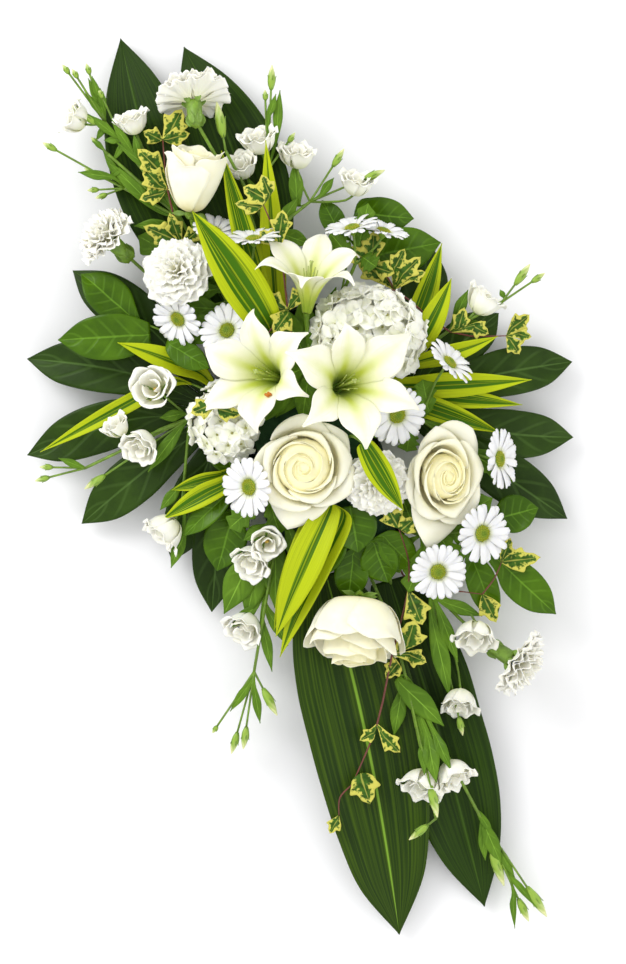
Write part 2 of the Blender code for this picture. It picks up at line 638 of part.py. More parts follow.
def hydrangea(name, centre, aim, radius, flat, count, seed, root):
    """Dome covered in florets, on its stem."""
    draw = random.Random(seed)
    aim = Vector(aim).normalized()
    at = facing(centre, aim)
    core = 0.8 * radius
    base = -0.56 * core
    dome = ((0.3 * core, base), (core, 0), (0.82 * core, 0.5 * core * flat), (0, core * flat))
    pieces = [turned(dome, 9, at)]
    for i in range(count):
        height = 1.0 - 1.12 * (i + 0.5) / count
        reach = math.sqrt(1.0 - height * height)
        normal = polar(reach, i * math.pi * (3.0 - math.sqrt(5.0)), height)
        place = at @ (Vector((normal.x * radius, normal.y * radius, normal.z * radius * flat)))
        pieces.append(floret(place, at.to_3x3() @ normal, 0.3 * radius, draw.uniform(0, 1.5)))
    node(name + "_head", "floret_white", pieces)
    end = at @ Vector((0, 0, base - 0.6))
    line = rooted(end - aim * 5, aim, root, 3.0, 2)
    node(name + "_stem", "stem_green", [tube(line + [end], 3.0)])


def hydrangeas():
    hydrangea("hydrangea_right", (67, 113, 94), (0.2, 0.2, 0.95), 46, 0.72, 19, 5, 48)
    hydrangea("hydrangea_left", (-84, 18, 94), (-0.5, 0, 0.87), 36, 0.6, 13, 6, 62)


def carnation(name, place, aim, radius, turn, seed, root=54, via=None):
    """Ruffled rings of petals on a green calyx and stem."""
    aim = Vector(aim).normalized()
    foot = Vector(place) - aim * 18
    at = facing(foot, aim, turn)
    draw = random.Random(seed)
    rings = [ring(1, 0, 0)]
    for rim, top, neck, floor in CARNATION_RUFFS:
        rings.append(ring(16, rim * radius, top, 2, 0.16, 1.5, draw=draw, shake=2.2))
        rings.append(ring(16 if neck else 1, neck * radius, floor))
    pieces = [stacked(rings, at)]
    node(name + "_bloom", "petal_white", pieces)
    end = foot - aim * 22
    line = rooted(via, end - Vector(via), root, 1.7) + [end] if via else rooted(end, aim, root, 1.7)
    line += [foot - aim * 17, foot - aim * 0.6]
    node(name + "_stem", "stem_green", [tube(line, [1.7] * (len(line) - 2) + [5.2, 6.2])])


def carnations():
    carnation("carnation_top", (-118, 352, 64), (-0.1, 0.8, -0.42), 38, 0.2, 11, 66, (-66, 235, 76))
    carnation("carnation_far_left", (-207, 205, 76), (-0.75, 0.35, 0.55), 32, 0.5, 12, 46)
    carnation("carnation_left", (-135, 170, 108), (-0.35, 0.25, 0.9), 35, 0.9, 13, 62)
    carnation("carnation_centre", (68, -47, 121), (0.1, -0.3, 0.95), 34, 0.3, 14)
    carnation("carnation_low_right", (213, -225, 62), (0.8, -0.5, 0.3), 31, 0.7, 15)


def daisy(place, aim, radius, turn, cup=4.0, rays=12):
    """Daisy head: blunt rays round a raised disc, thin at their tips."""
    outline = []
    for k in range(rays):
        middle = math.tau * k / rays
        half = 0.56 * math.pi / rays
        outline += [polar(0.3 * radius, middle - math.pi / rays, 0.4), polar(radius, middle - half, cup),
                    polar(radius, middle + half, cup)]
    return stacked([ring(4, 2.2, -10), ring(4, 2.6, -3), outline, ring(1, 0, 3.2)], facing(place, aim, turn))


def daisy_spray(name, joint, heads, height=56, way=None, shift=(0.0, 0.0)):
    """Daisy heads on a forked stem."""
    joint = Vector(joint)
    middle = sum((Vector(head[0]) for head in heads), Vector()) / len(heads)
    way = Vector(way) if way else middle - joint
    line = rooted(joint, way, height, 1.8, 3, shift)
    pieces = [tube(line + [joint + way.normalized() * 1.5], 1.8)]
    for number, (place, aim, radius) in enumerate(heads):
        aim = Vector(aim).normalized()
        end = Vector(place) - aim * 7
        out = (end - aim * 8 - joint).normalized()
        pieces.append(tube(curve_points(joint, out, end, aim, 2), 1.3, 3))
        pieces.append(daisy(place, aim, radius, 0.37 * number))
    node(name, "spray_green", pieces)


def daisies():
    daisy_spray("daisies_upper_left", (-72, 140, 82), (
        ((-95, 207, 86), (0.1, 0.6, 0.75), 23), ((-46, 200, 114), (0, 0.6, 0.8), 28),
        ((-131, 120, 90), (-0.6, 0.2, 0.77), 31), ((-88, 111, 108), (-0.3, 0.3, 0.9), 31)))
    daisy_spray("daisies_left", (-45, -52, 92), (
        ((-60, -47, 118), (-0.6, -0.1, 0.79), 31),), way=(-0.2, 0, 1))
    daisy_spray("daisies_top_right", (45, 175, 76), (
        ((44, 216, 90), (-0.2, 0.85, 0.5), 29), ((76, 212, 82), (0.3, 0.85, 0.5), 27)))
    daisy_spray("daisies_right", (110, 20, 84), (
        ((86, 24, 126), (0.4, -0.3, 0.86), 31), ((144, 77, 108), (0.5, 0.35, 0.75), 29),
        ((188, -19, 86), (0.85, 0.05, 0.5), 31)), way=(0.6, 0, 1))
    daisy_spray("daisies_low_right", (110, -95, 78), (
        ((127, -131, 98), (0.35, -0.2, 0.9), 33), ((171, -93, 92), (0.55, -0.1, 0.82), 31)),
        way=(0.6, -0.2, 0.8))


def lisianthus(name, joint, blooms, buds, leaves=(), height=54, way=None, forks=(), radius=1.7):
    """Cup flowers, pointed buds and narrow leaves on a forked stem.

    A bloom is its place, aim, radius and the fork it grows from; a bud is its tip and fork.
    """
    joint = Vector(joint)
    spots = [joint] + [Vector(fork) for fork in forks]
    way = Vector(way) if way else Vector(blooms[0][0]) - joint
    line = rooted(joint, way, height, radius, 3)
    pieces = [tube(line + [joint + way.normalized() * 1.2], radius, 4)]
    for fork in spots[1:]:
        start = joint - (fork - joint).normalized() * 0.6
        pieces.append(tube((start, joint.lerp(fork, 0.5) + UP * 3, fork), 1.3, 4))
    for place, aim, size, which in blooms:
        aim = Vector(aim).normalized()
        foot = Vector(place) - aim * size * 1.05
        start = spots[which]
        out = (foot - aim * 8 - start).normalized()
        pieces.append(tube(curve_points(start, out, foot + aim * 1.5, aim, 2), 1.2, 3))
        cup = [ring(5, 2.2, 0), ring(5, 0.72 * size, 0.45 * size),
               ring(10, size, 1.1 * size, 2, 0.2, 0.22 * size), ring(1, 0, 0.4 * size)]
        pieces.append(stacked(cup, facing(foot, aim, 1.3 * len(pieces))))
    for tip, which in buds:
        tip, start = Vector(tip), spots[which]
        out = (tip - start).normalized()
        reach = (tip - start).length
        points = (start, tip - out * min(18, 0.5 * reach), tip - out * min(10, 0.3 * reach), tip)
        pieces.append(tube(points, (1.0, 0.9, 3.6, 0.7), 4))
    for which, base, tip, width in leaves:
        pieces.append(blade(base, tip, width, SLIM, 2.0, None, stalk=spots[which]))
    node(name, "spray_green", pieces)


def lisianthus_sprays():
    lisianthus("lisianthus_upper_left", (-129, 221, 58), (
        ((-179, 319, 62), (-0.3, 0.7, 0.6), 20, 0), ((-241, 324, 54), (-0.8, 0.4, 0.3), 18, 1)), (
        ((-247, 375, 48), 1), ((-237, 366, 56), 1), ((-224, 380, 50), 1), ((-266, 295, 46), 2),
        ((-222, 253, 48), 2)),
        ((0, (-150, 262, 60), (-196, 300, 54), 12), (2, (-196, 262, 56), (-232, 268, 52), 10)), 46,
        forks=((-205, 318, 50), (-186, 252, 50)))
    lisianthus("lisianthus_top", (-40, 205, 66), (
        ((-52, 304, 70), (-0.2, 0.8, 0.4), 19, 1), ((-70, 276, 72), (-0.3, 0.6, 0.5), 17, 0),
        ((-12, 292, 68), (-0.1, 0.7, 0.6), 20, 2), ((50, 262, 64), (0.4, 0.6, 0.6), 19, 2)), (
        ((-38, 374, 56), 1), ((-89, 318, 68), 1), ((34, 290, 58), 2), ((72, 268, 54), 2)), (
        (1, (-34, 300, 58), (-30, 350, 54), 10), (2, (8, 240, 56), (10, 270, 52), 12)), 52,
        forks=((-42, 270, 60), (0, 238, 60)))
    lisianthus("lisianthus_right", (140, 110, 58), (
        ((178, 143, 66), (0.5, 0.6, 0.6), 21, 0),), (
        ((214, 170, 60), 0), ((229, 160, 56), 0)), (), 50)
    lisianthus("lisianthus_left", (-120, 22, 62), (
        ((-158, 53, 86), (-0.3, 0.2, 0.93), 22, 0), ((-180, -1, 80), (-0.6, 0, 0.8), 25, 0),
        ((-149, -98, 60), (-0.6, -0.5, 0.6), 23, 2)), (
        ((-269, -29, 44), 1), ((-274, -42, 42), 1), ((-218, -50, 44), 0)), (), 52,
        forks=((-225, -28, 46), (-126, -42, 54)))
    lisianthus("lisianthus_low_left", (-30, -80, 82), (
        ((-62, -134, 84), (-0.4, -0.6, 0.7), 20, 0), ((-42, -104, 98), (0.1, -0.3, 0.95), 17, 0),
        ((-67, -193, 58), (-0.4, -0.7, 0.6), 21, 1)), (
        ((-78, -306, 30), 2), ((-66, -300, 38), 2), ((-39, -262, 44), 2)), (
        (0, (-22, -88, 84), (-8, -126, 82), 18), (0, (-44, -86, 82), (-66, -100, 80), 16),
        (1, (-44, -166, 56), (-22, -206, 52), 12)), 54, way=(-0.3, -0.6, 0.5),
        forks=((-45, -150, 58), (-56, -232, 44)))
    lisianthus("lisianthus_low_right", (120, -150, 60), (
        ((164, -198, 74), (0.3, -0.5, 0.8), 20, 0), ((149, -266, 58), (0.1, -0.7, 0.7), 19, 0)), (
        ((153, -296, 46), 0),), ((0, (128, -168, 60), (148, -222, 56), 14),), 54)
    lisianthus("lisianthus_bottom", (95, -235, 56), (
        ((128, -348, 62), (0.2, -0.7, 0.6), 26, 0),), (
        ((118, -398, 42), 0), ((193, -438, 28), 1), ((209, -474, 24), 1), ((234, -468, 26), 1)), (
        (0, (102, -246, 56), (122, -306, 50), 14),), 50, forks=((172, -380, 38),))


def build():
    clear_scene()
    aspidistra()
    fatsia()
    salal()
    striped()
    ivy()
    lisianthus_sprays()
    daisies()
    carnations()
    hydrangeas()
    roses()
    lilies()
    tray()
    foam()


build()
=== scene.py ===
# Casket spray: the flowers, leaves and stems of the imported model, made fine.
#
# Everything is drawn in plan, in millimetres, as the solids are: X to the right, Y up the
# spray, Z up from the underside of the tray, with the tray's centre at the origin. A
# finished piece is then turned so that the spray's long axis lies along Y, in metres.

import math
import random

import bmesh
import bpy
from bpy.props import FloatProperty, FloatVectorProperty, IntProperty, PointerProperty
from mathutils import Matrix, Quaternion, Vector, noise


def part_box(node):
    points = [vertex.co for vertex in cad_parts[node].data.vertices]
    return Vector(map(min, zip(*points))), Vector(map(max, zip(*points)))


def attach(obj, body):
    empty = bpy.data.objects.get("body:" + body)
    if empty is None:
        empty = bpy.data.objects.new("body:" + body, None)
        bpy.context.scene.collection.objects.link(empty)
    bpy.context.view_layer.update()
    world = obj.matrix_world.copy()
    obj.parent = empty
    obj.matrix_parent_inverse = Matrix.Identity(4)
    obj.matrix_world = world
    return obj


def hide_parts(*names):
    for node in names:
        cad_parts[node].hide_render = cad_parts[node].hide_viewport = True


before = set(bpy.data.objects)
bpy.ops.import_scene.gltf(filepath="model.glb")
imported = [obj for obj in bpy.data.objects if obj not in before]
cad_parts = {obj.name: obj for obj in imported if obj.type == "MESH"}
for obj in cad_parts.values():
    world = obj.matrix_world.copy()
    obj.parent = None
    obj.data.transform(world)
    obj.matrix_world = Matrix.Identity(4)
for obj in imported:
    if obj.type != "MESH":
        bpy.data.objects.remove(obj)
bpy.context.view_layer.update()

bl_info = {
    "name": "Casket Spray",
    "version": (1, 0, 0),
    "blender": (4, 5, 0),
    "location": "3D View > Sidebar > Spray",
    "description": "Builds a long spray of white flowers and green leaves on its tray",
    "category": "Add Mesh",
}

MM = 0.001
LEAN = math.radians(18.0)
ROW = Matrix.Scale(MM, 4) @ Matrix.Rotation(-LEAN, 4, "Z")
UP = Vector((0.0, 0.0, 1.0))
GOLDEN = math.pi * (3.0 - math.sqrt(5.0))
MERGE = 0.02

# How far red, green and blue light pass a petal, to what depth in metres, and the gloss of each kind.
PETAL_GLOW = (1.0, 0.9, 0.65)
PETAL_GLOW_DEPTH = 0.0008
STEM_GLOW_DEPTH = 0.002
PETAL_GLOSS = 0.2
LEAF_GLOSS = 0.12

# The foam in millimetres, how far outside it a stem's end still counts as over it, how far from its
# middle the stems root along and across it, how deep they stand, and how straight their ends are.
FOAM_LOW, FOAM_HIGH = (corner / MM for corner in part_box("floral_foam"))
FOAM_WIDTH = FOAM_HIGH.x - FOAM_LOW.x
FOAM_LENGTH = FOAM_HIGH.y - FOAM_LOW.y
FOAM_TOP = FOAM_HIGH.z
FOAM_MARGIN = 12.0
ROOT_LONG = 84.0
ROOT_WIDE = 30.0
STEM_DEPTH = 21.0
STEM_PULL = 0.25

# Half widths of a leaf from its base to its tip, as shares of the widest place.
LANCE = (0.16, 0.6, 0.88, 1.0, 0.98, 0.84, 0.53, 0.0)
BROAD = (0.42, 0.84, 1.0, 1.0, 0.94, 0.81, 0.56, 0.0)
BLUNT = (0.42, 0.84, 1.0, 1.0, 0.99, 0.88, 0.58, 0.0)
OVAL = (0.5, 0.94, 1.0, 0.74, 0.0)
STRAP = (0.7, 1.0, 0.72, 0.0)
IVY_LEAF = (0.62, 0.86, 1.0, 0.62, 0.5, 0.42, 0.22, 0.0)
DAISY_LEAF = (0.3, 0.5, 0.82, 0.56, 1.0, 0.64, 0.86, 0.42, 0.0)
SLIM = (0.4, 1.0, 0.0)

# A rose's petals stand in a spiral, outer to inner: their rims, heights and half widths in radians.
ROSE_RIMS = (1.0, 0.91, 0.8, 0.67, 0.52, 0.34, 0.13)
ROSE_OPEN = (0.46, 0.62, 0.76, 0.87, 0.94, 0.98, 0.96)
ROSE_CUP = (0.86, 0.95, 1.0, 1.02, 1.0, 0.97, 0.9)
ROSE_DROOP = (0.7, 0.74, 0.86, 0.96, 1.0, 1.0, 0.96)
ROSE_HALVES = (0.85, 0.88, 0.92, 1.0, 1.25, 1.6, 2.2)
ROSE_PETALS = 22
# Radius and height of an open, a cupped, a closed and a draped petal, as shares, from foot to rim.
ROSE_CLOSED = 2
ROSE_PROFILES = (
    ((0.1, 0.0), (0.46, 0.1), (0.72, 0.38), (0.8, 0.72), (0.86, 0.92), (0.95, 1.0), (1.04, 0.95)),
    ((0.14, 0.0), (0.42, 0.08), (0.64, 0.28), (0.82, 0.54), (0.93, 0.8), (0.96, 0.94), (0.98, 1.0)),
    ((0.15, 0.0), (0.5, 0.1), (0.74, 0.38), (0.8, 0.72), (0.81, 0.9), (0.8, 0.98), (0.76, 1.0)),
    ((0.2, 0.0), (0.6, 0.08), (0.76, 0.2), (0.9, 0.42), (0.98, 0.65), (1.04, 0.85), (1.06, 1.0)),
)
# Depth under the bloom and radius of a rose's hip and of a carnation's calyx.
ROSE_HIP = ((8, 1.9), (5.5, 4.4), (3, 5.6), (0.4, 4.4))
CARNATION_CALYX = ((29, 1.7), (25, 6.0), (12, 7.8), (0.5, 8.2))
CALYX_TEETH = 5
# Ruffs of a carnation, outer to inner: rim, height in millimetres and petals.
CARNATION_LAYERS = (
    (1.0, 7, 6), (0.95, 12, 6), (0.84, 16.5, 6), (0.7, 20.5, 5), (0.53, 24, 5), (0.35, 26, 4), (0.17, 26, 3),
)
CARNATION_PETAL = ((0.06, 0.0), (0.4, 0.5), (0.75, 0.86), (1.0, 1.0))
# Radius and height along a lily's tepal, then its half width in the broad and narrow ones.
LILY_RADII = (4.5, 8.0, 13.0, 20.0, 30.0, 42.0, 53.0, 63.0, 71.0)
LILY_HEIGHTS = (0.0, 15.0, 30.0, 44.0, 56.0, 65.0, 70.0, 69.5, 63.0)
LILY_BROAD = (3.0, 5.2, 8.6, 13.5, 20.5, 21.0, 12.0, 4.8, 0.7)
LILY_NARROW = (2.8, 4.8, 8.0, 12.0, 17.0, 16.5, 9.0, 3.6, 0.7)
LILY_DEPTH = 74.0
LILY_TEPALS = 6
TEPAL_THICK = 1.4  # shares of another petal's thickness
DAISY_RAYS = 22
DISC_FLORETS = 70
# Stations along a fatsia lobe: share of its length, of its width, and lift.
FATSIA_LOBE = ((0.42, 0.84, 5.0), (0.64, 1.08, 7.0), (0.84, 0.86, 4.0), (1.0, 0.0, 0.0))
LISIANTHUS_PETALS = 9
LISIANTHUS_CUP = ((0.12, 0.0), (0.5, 0.14), (0.76, 0.45), (0.88, 0.78), (0.97, 0.96), (1.1, 1.0))


def colour(label, words, value):
    """Colour property with its name, description and default."""
    return FloatVectorProperty(name=label, description=words, subtype="COLOR", size=3, min=0.0, max=1.0,
                               default=value)


class BloomSettings(bpy.types.PropertyGroup):
    """Colours and thickness of the petals."""

    # The rose heart and the lily throat tint the feet of the petals: partly their own colour, partly painted
    # warm shade of the deep folds.
    rose_cream: colour("Rose", "Outer petals of the roses", (0.98, 0.955, 0.79))
    rose_heart: colour("Rose heart", "Inner folds of the roses", (0.99, 0.94, 0.64))
    lily_white: colour("Lily", "Tepals of the lilies", (0.93, 0.915, 0.78))
    lily_throat: colour("Lily throat", "Green deep in the trumpets", (0.62, 0.7, 0.1))
    petal_white: colour("Carnation", "Ruffled petals of the carnations", (0.97, 0.96, 0.89))
    floret_white: colour("Hydrangea", "Florets of the hydrangeas", (0.97, 0.97, 0.87))
    ray_white: colour("Daisy", "Rays of the daisies", (0.87, 0.87, 0.87))
    disc_yellow: colour("Daisy disc", "Discs of the daisies", (0.45, 0.47, 0.02))
    cup_white: colour("Lisianthus", "Petals of the lisianthus", (0.96, 0.95, 0.86))
    petal_thick: FloatProperty(name="Petal thickness", description="Thickness of a petal", unit="LENGTH",
                               min=0.0002, max=0.001, default=0.00045)
    ruffle: FloatProperty(name="Ruffle", description="Strength of the waves in the petals' rims",
                          subtype="FACTOR", min=0.0, max=2.0, default=1.0)
    florets: IntProperty(name="Florets", description="Florets on the larger hydrangea head", min=20, max=120,
                         default=50)


class LeafSettings(bpy.types.PropertyGroup):
    """Colours and thickness of the leaves and stems."""

    aspidistra_green: colour("Aspidistra", "Ground colour of the long dark leaves", (0.014, 0.036, 0.003))
    fatsia_green: colour("Fatsia", "Ground colour of the lobed leaves", (0.015, 0.036, 0.003))
    salal_green: colour("Salal", "Ground colour of the glossy oval leaves", (0.036, 0.092, 0.001))
    stripe_lime: colour("Stripe", "Lime margins of the striped blades", (0.47, 0.56, 0.008))
    stripe_green: colour("Striped blade", "Green middle of the striped blades", (0.05, 0.15, 0.002))
    ivy_green: colour("Ivy", "Green middle of the ivy leaves", (0.05, 0.13, 0.012))
    ivy_cream: colour("Ivy margin", "Pale margins of the ivy leaves", (0.6, 0.57, 0.1))
    stem_green: colour("Stem", "Fresh stems and calyces", (0.17, 0.31, 0.016))
    leaf_thick: FloatProperty(name="Leaf thickness", description="Thickness of a leaf", unit="LENGTH",
                              min=0.0003, max=0.0015, default=0.0006)


class StageSettings(bpy.types.PropertyGroup):
    """Floor, light and camera."""

    floor_white: colour("Floor", "Pale floor under the spray", (0.95, 0.95, 0.96))
    sky: FloatProperty(name="Sky", description="Strength of the even light all round", min=0.0, max=4.0,
                       default=0.98)
    lamp_power: FloatProperty(name="Lamp", description="Power of the large soft lamp", unit="POWER", min=0.0,
                              max=2000.0, default=62.0)
    lens: FloatProperty(name="Lens", description="Focal length of the camera in millimetres", min=50.0,
                        max=400.0, default=200.0)
    span: FloatProperty(name="Span", description="Height of the picture at the flowers", unit="LENGTH",
                        min=0.5, max=2.0, default=0.964)


def smooth(values, t):
    """Value at t, from 0 to 1, of a smooth curve through evenly spaced values."""
    spans = len(values) - 1
    i = min(int(t * spans), spans - 1)
    f = t * spans - i
    a, b, c, d = values[max(i - 1, 0)], values[i], values[i + 1], values[min(i + 2, spans)]
    return b + ((c - a) + ((a * 2 - b * 5 + c * 4 - d) + ((b - c) * 3 + d - a) * f) * f) * (0.5 * f)


def polar(radius, angle, height):
    return Vector((radius * math.cos(angle), radius * math.sin(angle), height))


def facing(place, direction, turn=0.0):
    """Matrix that stands a shape's Z along a direction, with its X as near plan X as that leaves."""
    aim = Vector(direction).normalized()
    across = (Vector((1.0, 0.0, 0.0)) - aim * aim.x).normalized()
    axes = Matrix((across, aim.cross(across), aim)).transposed().to_4x4()
    return Matrix.Translation(Vector(place)) @ axes @ Matrix.Rotation(turn, 4, "Z")


def new_drawing():
    """Empty bmesh with a UV map and a tone for each vertex."""
    bm = bmesh.new()
    bm.loops.layers.uv.new("UVMap")
    bm.verts.layers.float.new("tone")
    return bm


def faces_round(verts):
    return list(dict.fromkeys(face for vert in verts if vert.is_valid for face in vert.link_faces))


def thicken(bm, verts, thick):
    """Gives a sheet a second side, a thickness away along its normals, and walls between the two."""
    faces = faces_round(verts)
    for face in faces:
        face.normal_update()
    for vert in verts:
        if vert.is_valid:
            vert.normal_update()
    for part in bmesh.ops.extrude_face_region(bm, geom=faces, use_keep_orig=True)["geom"]:
        if isinstance(part, bmesh.types.BMVert):
            part.co += part.normal * thick


def sheet(bm, columns, rows, shape, thick, paint, tone):
    """Adds a grid bent by shape(u, v), u from -1 to 1 across and v from 0 to 1 along, and thickened."""
    tones = bm.verts.layers.float["tone"]
    grid = bmesh.ops.create_grid(bm, x_segments=columns, y_segments=rows, size=1.0, calc_uvs=True)["verts"]
    for vert in grid:
        vert.co = shape(vert.co.x, (vert.co.y + 1.0) / 2.0)
        vert[tones] = tone
    bmesh.ops.remove_doubles(bm, verts=grid, dist=MERGE)
    for face in faces_round(grid):
        face.material_index = paint
    if thick:
        thicken(bm, grid, thick)


def stem(bm, points, radii, sides=8, paint=0, tone=0.5, fine=3):
    """Adds a round closed stem along a smooth line through points."""
    points = [Vector(point) for point in points]
    radii = list(radii) if isinstance(radii, (list, tuple)) else [radii] * len(points)
    rows = fine * (len(points) - 1)
    line = [smooth(points, i / rows) for i in range(rows + 1)]
    sizes = [max(smooth(radii, i / rows), 0.05) for i in range(rows + 1)]
    frames = []
    side = Vector((1.0, 0.3, 0.1))
    for i in range(rows + 1):
        ahead = (line[min(i + 1, rows)] - line[max(i - 1, 0)]).normalized()
        side = (side - ahead * side.dot(ahead)).normalized()
        frames.append((side.copy(), ahead.cross(side)))

    def shape(u, v):
        ring = round(v * (rows + 2)) - 1
        i = max(0, min(rows, ring))
        size = sizes[i] if ring == i else 0.0
        return line[i] + (frames[i][0] * math.cos(math.pi * u) + frames[i][1] * math.sin(math.pi * u)) * size

    sheet(bm, sides, rows + 2, shape, 0.0, paint, tone)


def leaf(bm, base, tip, width, outline, arch, fold, roll=0.0, wave=0.0, sway=0.0, stalk=None, columns=8,
         rows=16, paint=0, tone=0.5, ruffle=0.0, stalk_half=1.2, forward=0.0):
    """Adds a leaf from base to tip, arched, folded along its midrib, waved and swayed to a side."""
    base, tip = Vector(base), Vector(tip)
    run = tip - base
    side = run.cross(UP).normalized()
    side.rotate(Quaternion(run.normalized(), roll))
    top = side.cross(run).normalized()
    centres, halves = [], []
    if stalk is not None:
        centres.append(Vector(stalk))
        halves.append(stalk_half)
    last = len(outline) - 1
    for i, share in enumerate(outline):
        bow = math.sin(math.pi * i / last)
        centres.append(base + run * (i / last) + top * (arch * bow) + side * (sway * bow))
        halves.append(0.5 * width * share)
    seed = Vector((tip.x * 0.37, tip.y * 0.21, 0.0))
    ahead = run.normalized() * forward

    def shape(u, v):
        half = max(smooth(halves, v), 0.4)
        groove = -0.35 * max(0.0, 1.0 - abs(u) * 5.0) * min(1.0, half / 6.0)
        billow = noise.noise(seed + Vector((u * 0.9, v * 3.2, 0.0))) * ruffle * half
        lift = fold * half * abs(u) ** 1.3 + wave * math.sin(2.3 * v * last) * u + groove + billow
        return smooth(centres, v) + side * (half * u) + top * lift + ahead * (half * u * u)

    sheet(bm, columns, rows, shape, leaf_thick(), paint, tone)


def petal_ring(bm, at, count, rim, top, profile, half, phase, draw, ruffle, lap, notch, point, tone,
               columns, rows, waves, fall, stray, narrow=0.5, teeth=0.0):
    """Adds a ring of overlapping petals that rise from a foot to their rims.

    The profile is shares of the rim's radius and height, half is a petal's half width in radians.
    """
    radii = [pair[0] * rim for pair in profile]
    heights = [pair[1] * top for pair in profile]
    for number in range(count):
        middle = phase + math.tau * number / count + draw.uniform(-3.0, 3.0) * stray
        start, other = draw.uniform(0.0, math.tau), draw.uniform(0.0, math.tau)
        reach = 1.0 + draw.uniform(-stray, stray)
        raise_by = draw.uniform(-stray, stray) * top

        def shape(u, v):
            e = v * (1.0 - notch * abs(u) ** 3)
            wide = half * (narrow + (1.0 - narrow) * min(1.0, 1.6 * e))
            crest = max(0.0, e - 0.7) / 0.3
            frill = math.sin(math.pi * waves * u + start) * e * e
            fine = math.sin(2.7 * math.pi * waves * u + other) * e ** 4
            out = smooth(radii, e) * reach * (1.0 + lap * u) + 0.4 * ruffle * frill
            out += (point * (1.0 - abs(u)) ** 2 - teeth * abs(math.sin(11.0 * u + start))) * crest
            swell = math.sin(math.pi * (waves + 0.8) * u + other) * e * e
            height = smooth(heights, e) + raise_by * e - fall * u * u * crest
            return at @ polar(out, middle + wide * u, height + ruffle * (swell + 0.3 * fine))

        sheet(bm, columns, rows, shape, petal_thick(), 0, tone)


def upright(at, heights):
    """Points on a shape's own axis."""
    return [at @ Vector((0, 0, height)) for height in heights]


def swelling(bm, foot, aim, stations, sides):
    """Adds a round green body under a bloom, from its depths and radii."""
    stem(bm, [foot - aim * depth for depth, radius in stations], [radius for depth, radius in stations],
         sides, 1)


def calyx(bm, at, teeth, width, arch, columns, rows, paint, turn=0.0):
    """Adds rings of narrow teeth round a foot, each from one place to another."""
    for number in range(CALYX_TEETH):
        sweep = at @ Matrix.Rotation(math.tau * number / CALYX_TEETH + turn, 4, "Z")
        for near, far in teeth:
            leaf(bm, sweep @ Vector(near), sweep @ Vector(far), width, SLIM, arch, 0.1, columns=columns,
                 rows=rows, paint=paint)


def foam_exit(core, direction):
    """Where a line from inside the foam leaves it."""
    turn = Matrix.Rotation(-LEAN, 3, "Z")
    start, way = turn @ core, turn @ direction
    reach = []
    for axis, limit in ((0, FOAM_WIDTH / 2), (1, FOAM_LENGTH / 2)):
        if abs(way[axis]) > 1e-6:
            reach.append((math.copysign(limit, way[axis]) - start[axis]) / way[axis])
    if way.z > 1e-6:
        reach.append((FOAM_TOP - start.z) / way.z)
    return core + direction * min(reach)


def curve_points(start, way_out, end, way_in, steps):
    """Points of a smooth stem that leaves and arrives along two directions."""
    reach = (end - start).length * STEM_PULL
    a, b = start + way_out * reach, end - way_in * reach
    points = []
    for i in range(steps + 1):
        t = i / steps
        near, far = (1 - t) ** 2, t ** 2
        points.append(start * (1 - t) * near + a * 3 * t * near + b * 3 * (1 - t) * far + end * t * far)
    return points


def rooted(end, way_in, height, steps=4, shift=(0.0, 0.0)):
    """Stem line from inside the foam, out of the hole that the foam has for it, to an end."""
    end, way_in = Vector(end), Vector(way_in).normalized()
    turn = Matrix.Rotation(-LEAN, 3, "Z")
    local = turn @ end
    over_x = abs(local.x) < FOAM_WIDTH / 2 + FOAM_MARGIN
    over_y = abs(local.y) < FOAM_LENGTH / 2 + FOAM_MARGIN
    above = end.z > FOAM_TOP and over_x and over_y
    along = max(-ROOT_LONG, min(ROOT_LONG, (0.9 if above else 0.62) * local.y)) + shift[1]
    across = max(-ROOT_WIDE, min(ROOT_WIDE, (0.72 if above else 0.3) * local.x)) + shift[0]
    core = turn.inverted() @ Vector((across, along, height))
    way_out = (end - way_in * (end - core).length * STEM_PULL - core).normalized()
    mouth = foam_exit(core, way_out)
    return [mouth - way_out * STEM_DEPTH] + curve_points(mouth + way_out * 4.0, way_out, end, way_in, steps)


def finish_piece(bm, name, paints, slot, *nodes):
    """Turns a drawing in plan millimetres into a piece that stands for CAD nodes."""
    bmesh.ops.recalc_face_normals(bm, faces=bm.faces[:])
    bmesh.ops.transform(bm, matrix=ROW, verts=bm.verts[:])
    mesh = bpy.data.meshes.new(name)
    bm.to_mesh(mesh)
    bm.free()
    mesh.shade_smooth()
    for paint in paints:
        mesh.materials.append(finish(paint))
    piece = bpy.data.objects.new(name, mesh)
    bpy.context.scene.collection.objects.link(piece)
    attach(piece, "root")
    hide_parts(*nodes)


def add(tree, kind, settings=None, sockets=None):
    """Adds a shader node, sets it up and returns its first output."""
    made = tree.nodes.new(kind)
    for key, value in (settings or {}).items():
        setattr(made, key, value)
    for key, value in (sockets or {}).items():
        if isinstance(value, bpy.types.NodeSocket):
            tree.links.new(value, made.inputs[key])
        else:
            made.inputs[key].default_value = value
    return made.outputs[0]


def sums(tree, operation, first, second=0.0, clamp=False):
    """One sum of two numbers or sockets."""
    return add(tree, "ShaderNodeMath", {"operation": operation, "use_clamp": clamp}, {0: first, 1: second})


def between(tree, value, low, high, out_low=0.0, out_high=1.0):
    """Smooth step of a value between two limits."""
    return add(tree, "ShaderNodeMapRange", {"interpolation_type": "SMOOTHSTEP"},
               {0: value, 1: low, 2: high, 3: out_low, 4: out_high})


def blend(tree, factor, first, second, way="MIX"):
    """Mix of two colours; a plain colour is three numbers."""
    made = tree.nodes.new("ShaderNodeMix")
    made.data_type = "RGBA"
    made.blend_type = way
    for index, value in ((0, factor), (6, first), (7, second)):
        if isinstance(value, bpy.types.NodeSocket):
            tree.links.new(value, made.inputs[index])
        else:
            made.inputs[index].default_value = value if index == 0 else (*value[:3], 1.0)
    return made.outputs[2]


